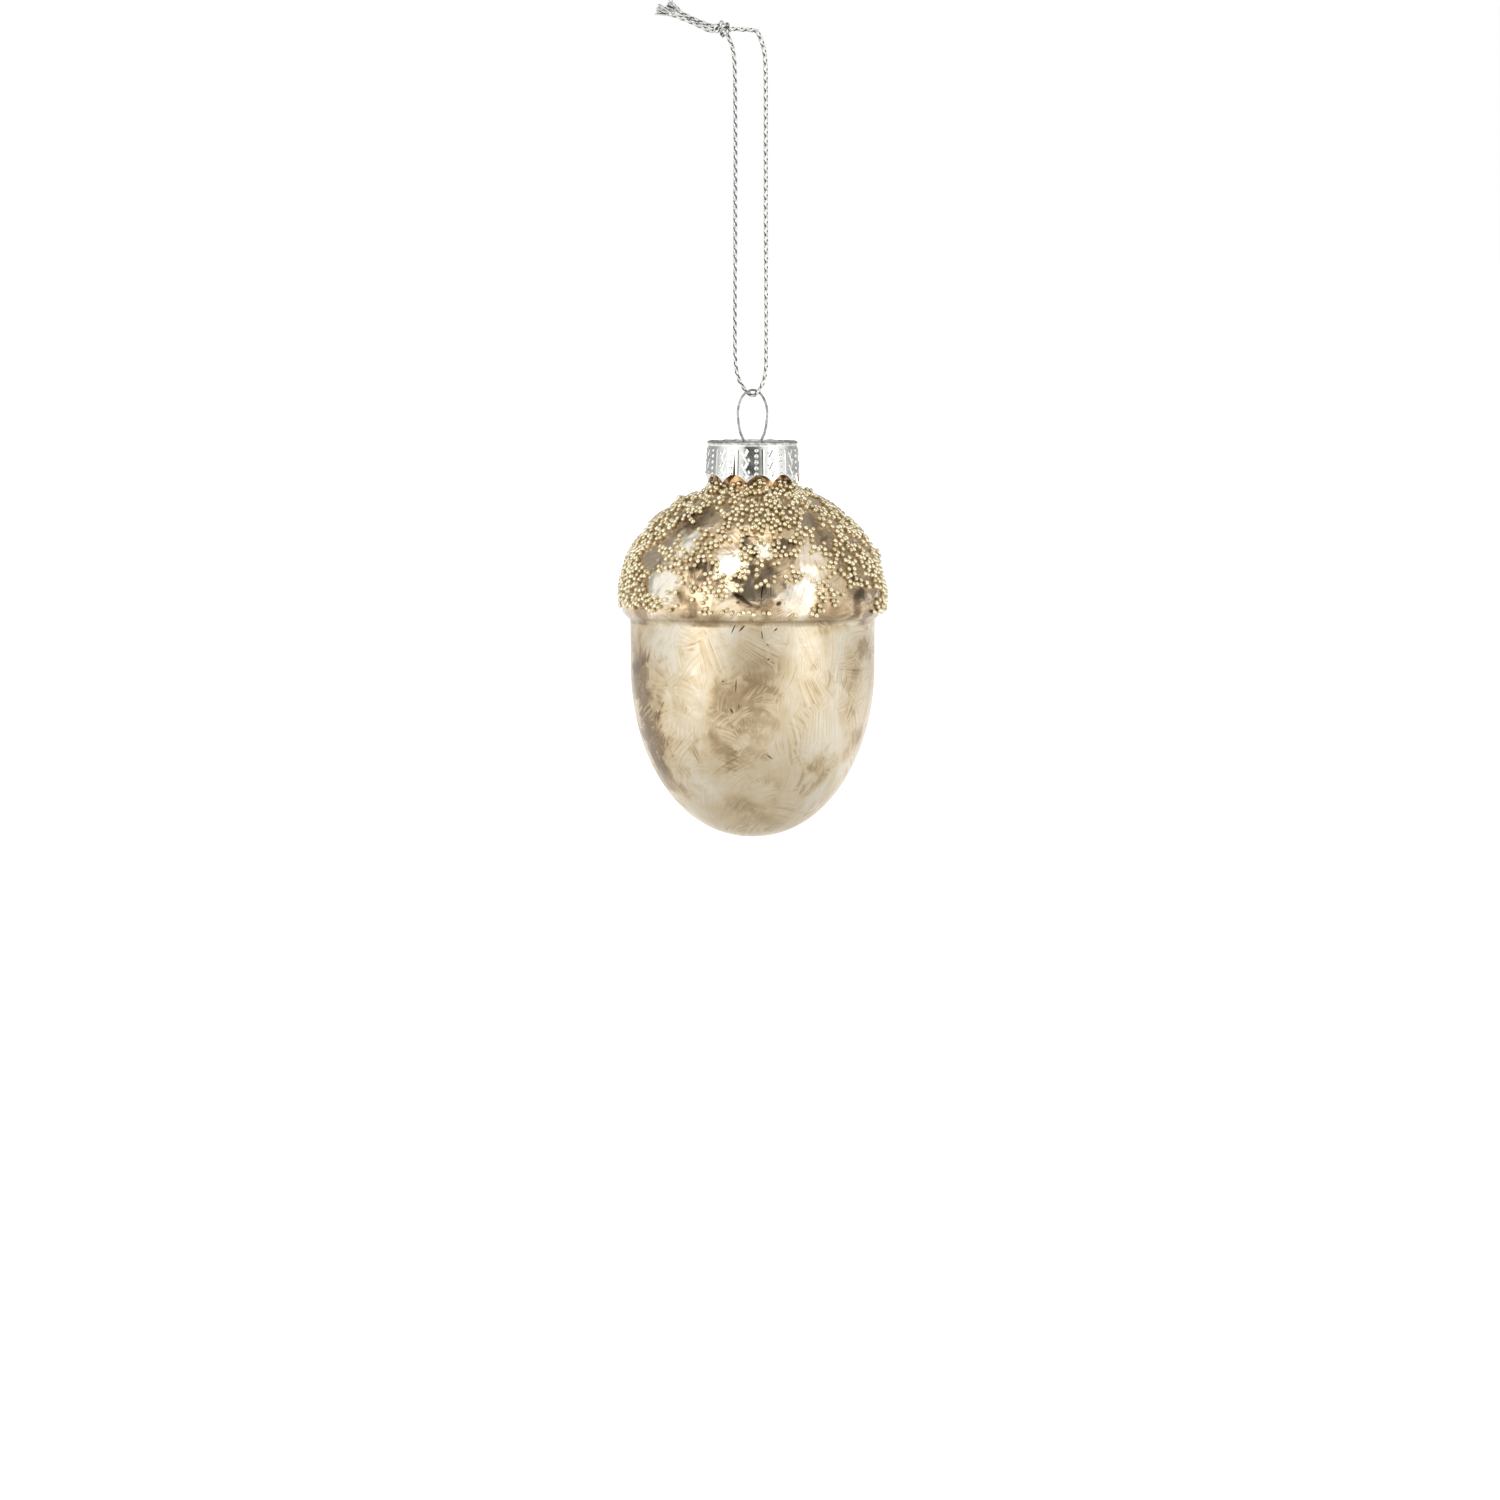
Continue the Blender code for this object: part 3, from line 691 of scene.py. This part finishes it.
def make_world():
    """A white tent round the ornament, with a dark opening for the camera and a dimmer back."""
    world = bpy.data.worlds.new("studio")
    world.use_nodes = True
    tree = world.node_tree
    background = tree.nodes["Background"]
    direction = add(tree, "ShaderNodeTexCoord").outputs["Generated"]
    parts = add(tree, "ShaderNodeSeparateXYZ", {"Vector": direction})
    side = maths(tree, "ABSOLUTE", parts.outputs["X"])
    round_it = maths(tree, "ARCTAN2", side, maths(tree, "MULTIPLY", parts.outputs["Y"], -1.0))
    opening = between(tree, round_it, math.radians(15), math.radians(27), 1.0, 0.0)
    low = between(tree, parts.outputs["Z"], 0.55, 0.8, 1.0, 0.0)
    behind = between(tree, round_it, math.radians(86), math.radians(108))
    room = mix(tree, behind, 1.04, 0.40)
    room = mix(tree, maths(tree, "MULTIPLY", opening, low), room, 0.07)
    seen = add(tree, "ShaderNodeLightPath").outputs["Is Camera Ray"]
    strength = mix(tree, seen, room, 1.0)
    tree.links.new(strength, background.inputs["Strength"])
    background.inputs["Color"].default_value = (1.0, 1.0, 1.0, 1.0)
    SCENE.world = world


def softbox(name, spot, width, height, power):
    data = bpy.data.lights.new(name, "AREA")
    data.shape = "RECTANGLE"
    data.size, data.size_y = width, height
    data.energy = power
    lamp = link_into_scene(name, data)
    lamp.location = AIM + Vector(spot)
    lamp.rotation_euler = Vector(spot).to_track_quat("Z", "Y").to_euler()


def make_studio():
    make_camera()
    make_floor()
    make_world()
    softbox("left_box", (-1.1, -0.9, 0.25), 0.6, 1.2, 3.0)
    softbox("right_box", (1.15, -0.85, 0.2), 0.6, 1.2, 2.6)
    softbox("top_box", (-0.1, -0.35, 1.4), 0.9, 0.7, 2.0)
    softbox("key", (-0.45, -1.3, 0.95), 0.24, 0.24, 2.4)
    SCENE.view_settings.view_transform = "Standard"


# ---------------- cord


def knot_points(turn_deg, slide):
    """The way of one cord end through the knot, from the loose end's side to the loop's side."""
    up = KNOT_ALONG.cross(Vector((0.0, 1.0, 0.0)))
    made = []
    for along, out, degrees in KNOT_TURNS:
        angle = math.radians(degrees + turn_deg)
        swing = up * math.cos(angle) + Vector((0.0, 1.0, 0.0)) * math.sin(angle)
        made.append(KNOT_CENTRE + (KNOT_ALONG * (along + slide) + swing * out) * MM)
    return made


def cord_route():
    """The whole cord, from one loose end through the knot, round the loop and back to the other."""
    route = [Vector(p) * MM for p in reversed(TAIL_UPPER)]
    route += knot_points(60.0, 0.1)
    route += [Vector(p) * MM for p in LOOP_ROUTE]
    route += reversed(knot_points(240.0, -0.1))
    route += [Vector(p) * MM for p in TAIL_LOWER]
    return evenly_spaced(smooth_curve(route, 10), CORD_STEP)


def frames_along(line):
    """Two directions square to the line at each of its points, turning as little as they can."""
    ahead = np.gradient(line, axis=0)
    ahead /= np.linalg.norm(ahead, axis=1)[:, None]
    side = np.cross(ahead[0], (0.0, 1.0, 0.3))
    sides = []
    for direction in ahead:
        side = side - direction * side.dot(direction)
        side = side / np.linalg.norm(side)
        sides.append(side)
    sides = np.array(sides)
    return sides, np.cross(ahead, sides)


def swept(line, a, b, sides_count):
    """Points and faces of a closed tube. a and b are its points' offsets from the line, by row and side."""
    first, second = frames_along(line)
    points = line[:, None, :] + a[:, :, None] * first[:, None, :] + b[:, :, None] * second[:, None, :]
    rows = len(line)
    faces = []
    for i in range(rows - 1):
        low = i * sides_count
        for k in range(sides_count):
            n = (k + 1) % sides_count
            faces.append((low + k, low + n, low + sides_count + n, low + sides_count + k))
    faces.append(tuple(reversed(range(sides_count))))
    faces.append(tuple(range((rows - 1) * sides_count, rows * sides_count)))
    return points.reshape(-1, 3), faces


def braid_strand(line, hand, phase, half_width):
    """One flat yarn of the braid: it winds round the line and goes over and under the others."""
    along = np.concatenate([[0.0], np.cumsum(np.linalg.norm(np.diff(line, axis=0), axis=1))])
    wind = 2 * math.pi * along / BRAID_PITCH
    angle = hand * wind + phase
    out = (BRAID_RADIUS + BRAID_WEAVE * hand * np.cos(2 * wind)) * MM
    centre = np.stack([out * np.cos(angle), out * np.sin(angle)])
    sides_count = 8
    around = np.linspace(0.0, 2 * math.pi, sides_count, endpoint=False)
    radial = YARN_HALF_THICKNESS * np.cos(around)
    tangential = half_width * np.sin(around)
    cos, sin = np.cos(angle)[:, None], np.sin(angle)[:, None]
    a = centre[0][:, None] + radial * cos - tangential * sin
    b = centre[1][:, None] + radial * sin + tangential * cos
    return swept(line, a, b, sides_count)


def round_tube(line, radius, sides_count):
    around = np.linspace(0.0, 2 * math.pi, sides_count, endpoint=False)
    radius = np.broadcast_to(np.asarray(radius), len(line))[:, None]
    return swept(line, radius * np.cos(around), radius * np.sin(around), sides_count)


def yarn_piece(name, parts, look):
    """One piece of many yarns. Each is (0 if silver or 1 if dark, (points, faces))."""
    points, faces, kinds, start = [], [], [], 0
    for kind, (part_points, part_faces) in parts:
        points.append(part_points)
        faces += [tuple(i + start for i in face) for face in part_faces]
        kinds += [kind] * len(part_faces)
        start += len(part_points)
    yarns = [look["cord_silver"], look["cord_painted_reflection"]]
    piece = mesh_piece(name, np.concatenate(points), faces, yarns)
    piece.data.polygons.foreach_set("material_index", kinds)
    return piece


def make_cord(look):
    line = cord_route()
    braided = line[FRAY_STEPS:-FRAY_STEPS]
    parts = [(0, round_tube(braided[::2], CORE_RADIUS, 8))]
    # The dark yarns are painted reflection: they stand for the foil's dark reflections
    for phase in (0.0, math.pi):
        parts.append((0, braid_strand(braided, 1, phase, SILVER_HALF_WIDTH)))
        parts.append((1, braid_strand(braided, -1, phase, DARK_HALF_WIDTH)))
    cord = yarn_piece("braided_cord", parts, look)
    ends = make_frayed_ends(line, look)
    for piece in (cord, ends):
        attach(piece, "cord")
    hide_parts("cord_loop", "cord_knot", "cord_tail_upper", "cord_tail_lower")


def make_frayed_ends(line, look):
    """The yarns come apart at both loose ends in a flat brush of filaments, cut off square."""
    pick = random.Random(5)
    parts = []
    for route in (line[: FRAY_STEPS + 6], line[::-1][: FRAY_STEPS + 6]):
        tip, root = Vector(route[0]), Vector(route[-1])
        ahead = (tip - root).normalized()
        up = ahead.cross(Vector((0.0, 1.0, 0.0)))
        reach = (tip - root).length + 0.7 * MM
        for number in range(FILAMENTS):
            fan = pick.uniform(-1.0, 1.0)
            depth = pick.uniform(-0.32, 0.32)
            length = reach * pick.uniform(0.82, 1.0)
            start = pick.uniform(0.0, 6.0)
            fibre = []
            for i in range(9):
                t = i / 8
                spread = fan * (0.3 + 0.85 * t**1.3) + 0.09 * math.sin(start + 9 * t)
                into = depth * (0.8 + t) + 0.09 * math.cos(start * 2 + 8 * t)
                fibre.append(root + ahead * (length * t) + (up * spread + Vector((0.0, into, 0.0))) * MM)
            fibre = evenly_spaced(smooth_curve(fibre, 4), 0.2 * MM)
            # A third of the filaments take the dark yarn's colour, which is painted reflection
            parts.append((1 if number % 3 == 0 else 0, round_tube(fibre, FILAMENT_RADIUS, 5)))
    return yarn_piece("frayed_ends", parts, look)


# ---------------- glass


def arc(centre, radius, start_deg, end_deg, count):
    made = []
    for i in range(1, count + 1):
        angle = math.radians(start_deg + (end_deg - start_deg) * i / count)
        made.append((centre[0] + radius * math.cos(angle), centre[1] + radius * math.sin(angle)))
    return made


def glass_profile(inset=0.0, fineness=1.0):
    """(radius, z) down the glass, from the rim of the neck to the tip. inset moves it inwards."""
    neck_foot = NECK_TOP_Z - NECK_LENGTH
    start = math.asin(SHOULDER_RADIUS / CUP_RADIUS)
    shoulder_z = CUP_CENTRE_Z + CUP_HEIGHT * math.cos(start)
    cup, nut = CUP_RADIUS - inset, NUT_RADIUS - inset
    made = [(NECK_RADIUS - inset, NECK_TOP_Z), (NECK_RADIUS - inset, (NECK_TOP_Z + neck_foot) / 2)]
    steps = round(FILLET_ROWS * fineness)
    for i in range(steps):
        t = i / steps
        made.append(
            (
                NECK_RADIUS + (SHOULDER_RADIUS - NECK_RADIUS) * t**2 - inset,
                neck_foot * (1 - t) ** 2 + (shoulder_z + 0.4 * MM) * 2 * t * (1 - t) + shoulder_z * t**2,
            )
        )
    steps = round(CUP_ROWS * fineness)
    for i in range(steps + 1):
        angle = start + (math.pi / 2 - start) * i / steps
        made.append((cup * math.sin(angle), CUP_CENTRE_Z + (CUP_HEIGHT - inset) * math.cos(angle)))
    turn = math.acos(1 - (CUP_RADIUS - NUT_RADIUS) / (LIP_RADIUS + CREASE_RADIUS))
    lip_z = CUP_CENTRE_Z - LIP_DROP
    crease_z = lip_z - (LIP_RADIUS + CREASE_RADIUS) * math.sin(turn)
    turn_deg = math.degrees(turn)
    steps = max(3, round(LIP_ROWS * fineness))
    made += arc((cup - LIP_RADIUS, lip_z), LIP_RADIUS, 0, -turn_deg, steps)
    made += arc((nut + CREASE_RADIUS, crease_z), CREASE_RADIUS, 180 - turn_deg, 180, steps)
    steps = round(NUT_ROWS * fineness)
    power = 2 / NUT_FULLNESS
    for i in range(steps + 1):
        angle = math.pi / 2 * i / steps
        across = max(math.cos(angle), 0.0) ** power
        made.append((nut * across, NUT_CENTRE_Z - (NUT_HEIGHT - inset) * math.sin(angle) ** power))
    made[-1] = (0.0, made[-1][1])
    return made


def hand_blown(x, y, z):
    """How far the blown glass stands out from its ideal shape there."""
    low = CUP_CENTRE_Z - LIP_DROP - 3.0 * MM
    on_cup = smoothstep(low - 1.0 * MM, low + 4.0 * MM, z) * (1 - smoothstep(*DENTS_END, z))
    spot = Vector((x, y, z))
    lumps = noise.noise(spot * 190.0) + 0.5 * noise.noise(spot * 380.0 + Vector((7.0, 1.0, 3.0)))
    sway = noise.noise(spot * 60.0 + Vector((2.0, 5.0, 1.0)))
    on_nut = smoothstep(low + 1.0 * MM, low - 3.0 * MM, z) if z > low - 3.0 * MM else 1.0
    return on_cup * lumps * CUP_LUMPS + on_nut * sway * NUT_SWAY


def make_glass(look):
    columns = GLASS_COLUMNS
    outer = glass_profile()
    inner = glass_profile(GLASS_WALL, 0.35)
    profile = outer[:-1][::-1] + inner[:-1]
    outer_rows = len(outer) - 1
    points = [(0.0, 0.0, outer[-1][1])]
    for row, (r, z) in enumerate(profile):
        for k in range(columns):
            angle = 2 * math.pi * k / columns
            x, y = math.sin(angle), -math.cos(angle)
            swell = hand_blown(r * x, r * y, z) if row < outer_rows else 0.0
            points.append(((r + swell) * x, (r + swell) * y, z))
    points.append((0.0, 0.0, inner[-1][1]))
    faces = []
    for k in range(columns):
        n = (k + 1) % columns
        faces.append((0, 1 + n, 1 + k))
    for row in range(len(profile) - 1):
        low = 1 + row * columns
        for k in range(columns):
            n = (k + 1) % columns
            faces.append((low + k, low + n, low + columns + n, low + columns + k))
    last = 1 + (len(profile) - 1) * columns
    for k in range(columns):
        faces.append((last + k, last + (k + 1) % columns, len(points) - 1))
    glass = mesh_piece("acorn_glass", points, faces, [look["mirrored_glass"]])
    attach(glass, "glass")
    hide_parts("glass_shell")


# ---------------- beads


def beaded(x, y, z):
    """How densely the cup is beaded there, from 0 to 1."""
    if z < CUP_CENTRE_Z - BEAD_LOWEST:
        return 0.0
    share = 0.0
    if y < 0.1 * CUP_RADIUS:
        seen_z = z + y * math.tan(CAMERA_ELEVATION)
        for px, pz, half_width, half_height, amount in FRONT_PATCHES:
            off = math.hypot((x / MM - px) / half_width, (seen_z / MM - pz) / half_height)
            weight = 1 - smoothstep(0.85, 1.1, off)
            share = share * (1 - weight) + amount * weight
        return share
    spot = Vector((x, y, z))
    patches = noise.noise(spot * 120.0 + Vector((3.0, 3.0, 3.0)))
    near_neck = smoothstep(-98.0 * MM, -92.0 * MM, z)
    return max(near_neck, smoothstep(-0.22, 0.12, patches))


def tooth_edge_z(angle):
    """The height of the cap's toothed edge at an angle round the cap."""
    share = ((angle - FIRST_TIP) / PITCH) % 1.0
    return TOOTH_TIP_Z + (NOTCH_TOP_Z - TOOTH_TIP_Z) * (1 - (2 * share - 1) ** 2)


def beaded_profile():
    """Along the glass from under the cap to the lowest bead: (distance, radius, z, normal's r and z)."""
    low = CUP_CENTRE_Z - BEAD_LOWEST
    line = np.array([p for p in glass_profile() if low - 0.5 * MM < p[1] < NOTCH_TOP_Z - 0.3 * MM])
    step = np.gradient(line, axis=0)
    step /= np.linalg.norm(step, axis=1)[:, None]
    along = np.concatenate([[0.0], np.cumsum(np.linalg.norm(np.diff(line, axis=0), axis=1))])
    return np.column_stack([along, line, -step[:, 1], step[:, 0]])


def bead_spots():
    """(centre, radius) of each bead. Most stick to one that is there already, so they lie in clumps."""
    pick = random.Random(BEAD_SEED)
    profile = beaded_profile()
    cell = 2.5 * BEAD_RADIUS
    grid = {}
    made = []
    placed = []

    def cell_of(p):
        return tuple(int(c // cell) for c in p)

    def near(p):
        key = cell_of(p)
        for step in product((-1, 0, 1), repeat=3):
            yield from grid.get(tuple(k + d for k, d in zip(key, step)), ())

    for attempt in range(BEAD_TRIES + STACKED_TRIES):
        stacked = attempt >= BEAD_TRIES
        radius = BEAD_RADIUS * pick.uniform(0.92, 1.06)
        if len(placed) < FIRST_BEADS or pick.random() < LOOSE_SHARE:
            if pick.random() < 0.8:
                along = profile[-1, 0] * pick.random() ** 0.62
            else:
                along = pick.uniform(0.0, 3.5 * MM)
            turn = pick.uniform(-math.pi, math.pi)
        else:
            start, start_turn = pick.choice(placed)
            heading = pick.uniform(-math.pi, math.pi)
            stride = (STACKED_STRIDE if stacked else pick.uniform(*STRIDE)) * BEAD_RADIUS
            along = start + stride * math.cos(heading)
            ring = np.interp(along, profile[:, 0], profile[:, 1])
            turn = start_turn + stride * math.sin(heading) / ring
        if not 0.0 < along < profile[-1, 0]:
            continue
        ring, z, normal_r, normal_z = (
            float(np.interp(along, profile[:, 0], profile[:, k])) for k in (1, 2, 3, 4)
        )
        x, y = ring * math.sin(turn), -ring * math.cos(turn)
        share = beaded(x, y, z)
        if pick.random() > share or (stacked and share < 0.9):
            continue
        lift = radius * (STACKED_LIFT if stacked else BEAD_LIFT) + hand_blown(x, y, z)
        reach = ring + normal_r * lift
        p = Vector((reach * math.sin(turn), -reach * math.cos(turn), z + normal_z * lift))
        edge = min(tooth_edge_z(turn + side * radius / ring) for side in (-1, 0, 1))
        outside = reach - radius >= SKIRT_FOOT_RADIUS + 0.2 * MM
        beside_skirt = reach + radius > SKIRT_TOP_RADIUS - 0.5 * MM and not outside
        if beside_skirt and p.z + radius > edge - 0.1 * MM:
            continue
        if outside and p.z + radius > TOOTH_TIP_Z + 0.3 * MM:
            continue
        gaps = [(p - other).length for other in near(p)]
        if any(gap < CLOSEST_BEADS * BEAD_RADIUS for gap in gaps):
            continue
        crowd = sum(gap < NEIGHBOUR_REACH * BEAD_RADIUS for gap in gaps)
        if stacked and crowd < SUPPORTS:
            continue
        if not stacked and crowd > MOST_NEIGHBOURS and pick.random() < CROWD_SHARE:
            continue
        grid.setdefault(cell_of(p), []).append(p)
        made.append((p, radius))
        if not stacked:
            placed.append((along, turn))
    return made


def make_beads(look):
    ball = bmesh.new()
    bmesh.ops.create_icosphere(ball, subdivisions=3, radius=1.0)
    base = np.array([tuple(v.co) for v in ball.verts])
    corners = np.array([[v.index for v in f.verts] for f in ball.faces])
    ball.free()
    sectors = [[] for _ in range(BEAD_SECTORS)]
    for spot, radius in bead_spots():
        turn = math.atan2(spot.x, -spot.y) % (2 * math.pi)
        sectors[int(turn / (2 * math.pi) * BEAD_SECTORS) % BEAD_SECTORS].append((spot, radius))
    stood_for = [[] for _ in range(BEAD_SECTORS)]
    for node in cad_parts:
        if node.startswith("bead_cluster"):
            low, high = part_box(node)
            turn = math.atan2(low[0] + high[0], -(low[1] + high[1])) % (2 * math.pi)
            stood_for[int(turn / (2 * math.pi) * BEAD_SECTORS) % BEAD_SECTORS].append(node)
    pick = random.Random(3)
    for number, spots in enumerate(sectors):
        centres = np.array([tuple(p) for p, _ in spots])
        radii = np.array([r for _, r in spots])
        points = (base[None] * radii[:, None, None] + centres[:, None, :]).reshape(-1, 3)
        faces = (corners[None] + (np.arange(len(spots)) * len(base))[:, None, None]).reshape(-1, 3)
        beads = mesh_piece(f"micro_beads_{number + 1}", points, faces.tolist(), [look["bead_gold"]])
        tints = np.repeat([pick.random() for _ in spots], len(base))
        beads.data.attributes.new("tint", "FLOAT", "POINT").data.foreach_set("value", tints)
        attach(beads, "glass")
        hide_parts(*stood_for[number])


# ---------------- crown cap


def embossing(s, z):
    """The stamped pattern's height, s across from a tooth's middle and z up, all in millimetres."""
    begun = smoothstep(PATTERN_LOW, PATTERN_LOW + 0.5, z)
    ended = smoothstep(PATTERN_HIGH - 0.5, PATTERN_HIGH, z)
    rib = math.exp(-(((s - RIB_AT) / RIDGE_WIDTH) ** 2)) * RIB_HEIGHT
    wave = abs((z / ZIGZAG_PITCH) % 1.0 - 0.5) * 4 - 1
    zigzag = math.exp(-(((s - ZIGZAG_AT - 0.36 * wave) / RIDGE_WIDTH) ** 2)) * ZIGZAG_HEIGHT
    row = z / DIAMOND_PITCH + 0.5
    side = 1 if round(row) % 2 else -1
    off = (row - round(row)) * DIAMOND_PITCH
    diamond = max(0.0, 1 - abs(s - ZIGZAG_AT - 0.62 * side) / 0.3 - abs(off) / 0.42) * ZIGZAG_HEIGHT
    row = (z - PEARL_Z) / PEARL_PITCH
    off = (row - round(row)) * PEARL_PITCH
    pearl = max(0.0, 1 - ((s - PEARLS_AT) ** 2 + off**2) / PEARL_RADIUS**2) ** 0.5 * PEARL_HEIGHT
    return begun * (1 - ended) * max(rib, zigzag, diamond, pearl)


def slit_half_width(z):
    """Half the width of the skirt's one slit, which is open at the toothed edge."""
    return SLIT_HALF_WIDTH * max(0.0, min(1.0, (SLIT_TOP_Z - z) / (5.0 * MM)))


def make_skirt(look):
    columns, rows = TEETH * COLUMNS_TO_A_TOOTH, SKIRT_ROWS
    slit_at = FIRST_TIP - PITCH / 2
    top_z = RIM_Z - 0.35 * MM
    points = []
    for row in range(rows + 1):
        t = row / rows
        for k in range(columns + 1):
            z = top_z + (NOTCH_TOP_Z - top_z) * t
            part = slit_half_width(z) / SKIRT_FOOT_RADIUS
            angle = slit_at + part + (2 * math.pi - 2 * part) * k / columns
            z = top_z + (tooth_edge_z(angle) - top_z) * t
            flare = (top_z - z) / (top_z - NOTCH_TOP_Z)
            r = SKIRT_TOP_RADIUS + (SKIRT_FOOT_RADIUS - SKIRT_TOP_RADIUS) * min(flare, 1.0) - PATTERN_INSET
            share = ((angle - FIRST_TIP + PITCH / 2) % PITCH) - PITCH / 2
            dent = noise.noise(Vector((r * math.sin(angle), r * math.cos(angle), z)) * 300.0) * 0.04
            r += (embossing(share * SKIRT_FOOT_RADIUS / MM, z / MM) + dent) * MM
            points.append((r * math.sin(angle), -r * math.cos(angle), z))
    faces = []
    for row in range(rows):
        low = row * (columns + 1)
        for k in range(columns):
            faces.append((low + k, low + columns + 1 + k, low + columns + 2 + k, low + k + 1))
    skirt = mesh_piece("cap_skirt", points, faces, [look["cap_silver"]])
    sheet = skirt.modifiers.new("sheet", "SOLIDIFY")
    sheet.thickness = SHEET
    sheet.offset = -1.0
    return skirt


def make_lid(look):
    """The cap's top: a flat disc inside a rolled rim, with two holes for the wire."""
    columns = 160
    profile = [(0.0, LID_Z), (2.6 * MM, LID_Z), (5.5 * MM, LID_Z), (LID_RADIUS - 0.2 * MM, LID_Z)]
    middle = ((LID_RADIUS + SKIRT_TOP_RADIUS) / 2, RIM_Z - RIM_BEAD)
    rim = (SKIRT_TOP_RADIUS - LID_RADIUS) / 2
    for i in range(9):
        angle = math.pi * (1 - i / 8)
        profile.append((middle[0] + rim * math.cos(angle), middle[1] + RIM_BEAD * math.sin(angle)))
    points = [(0.0, 0.0, LID_Z)]
    for r, z in profile[1:]:
        for k in range(columns):
            angle = 2 * math.pi * k / columns
            x, y = r * math.sin(angle), -r * math.cos(angle)
            crimp = (noise.noise(Vector((x, y, z)) * 900.0) - 0.6) * 0.16 * MM
            points.append((x, y, z + crimp if r > CRIMP_RADIUS else z))
    faces = [(0, 1 + k, 1 + (k + 1) % columns) for k in range(columns)]
    for row in range(len(profile) - 2):
        low = 1 + row * columns
        for k in range(columns):
            n = (k + 1) % columns
            faces.append((low + k, low + columns + k, low + columns + n, low + n))
    lid = mesh_piece("cap_lid", points, faces, [look["cap_silver"]])
    sheet = lid.modifiers.new("sheet", "SOLIDIFY")
    sheet.thickness = SHEET
    sheet.offset = -1.0
    for side in (-1, 1):
        bm = bmesh.new()
        bmesh.ops.create_cone(
            bm, cap_ends=True, segments=32, radius1=WIRE_HOLE_RADIUS, radius2=WIRE_HOLE_RADIUS, depth=3 * MM
        )
        mesh = bpy.data.meshes.new("hole")
        bm.to_mesh(mesh)
        bm.free()
        tool = link_into_scene("hole", mesh)
        tool.location = (side * WIRE_HOLE_X, 0.0, LID_Z)
        cut = lid.modifiers.new("hole", "BOOLEAN")
        cut.object = tool
        apply_modifiers(lid)
        bpy.data.objects.remove(tool)
    return lid


def apply_modifiers(piece):
    bpy.context.view_layer.update()
    graph = bpy.context.evaluated_depsgraph_get()
    mesh = bpy.data.meshes.new_from_object(piece.evaluated_get(graph))
    piece.modifiers.clear()
    piece.data = mesh


def make_cap(look):
    pieces = [make_skirt(look), make_lid(look)]
    for piece in pieces:
        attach(piece, "cap")
        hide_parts("crown_cap")


# ---------------- wire


def make_wire(look):
    right = []
    upper_height = EYE_TOP_Z - EYE_CENTRE_Z
    for i in range(6):
        angle = math.pi / 2 * i / 6
        right.append((EYE_HALF_WIDTH * math.sin(angle), EYE_CENTRE_Z + upper_height * math.cos(angle)))
    foot = math.asin((EYE_CENTRE_Z - EYE_FOOT_Z) / EYE_LOWER_HEIGHT)
    for i in range(4):
        angle = foot * i / 3
        right.append((EYE_HALF_WIDTH * math.cos(angle), EYE_CENTRE_Z - EYE_LOWER_HEIGHT * math.sin(angle)))
    right += [(x * MM, z * MM) for x, z in LEG_ROUTE]
    left = [(-x, z) for x, z in reversed(right[1:])]
    route = [Vector((x, 0.0, z)) for x, z in left + right]
    line = evenly_spaced(smooth_curve(route, 8), 0.25 * MM)
    points, faces = round_tube(line, WIRE_RADIUS, 16)
    wire = mesh_piece("wire_eye", points, faces, [look["wire_steel"]])
    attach(wire, "wire_hanger")
    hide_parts("wire_hanger")


def main():
    make_studio()
    look = {
        make.__name__: make()
        for make in (mirrored_glass, bead_gold, cap_silver, wire_steel, cord_silver, cord_painted_reflection)
    }
    make_cord(look)
    make_glass(look)
    make_beads(look)
    make_cap(look)
    make_wire(look)


main()
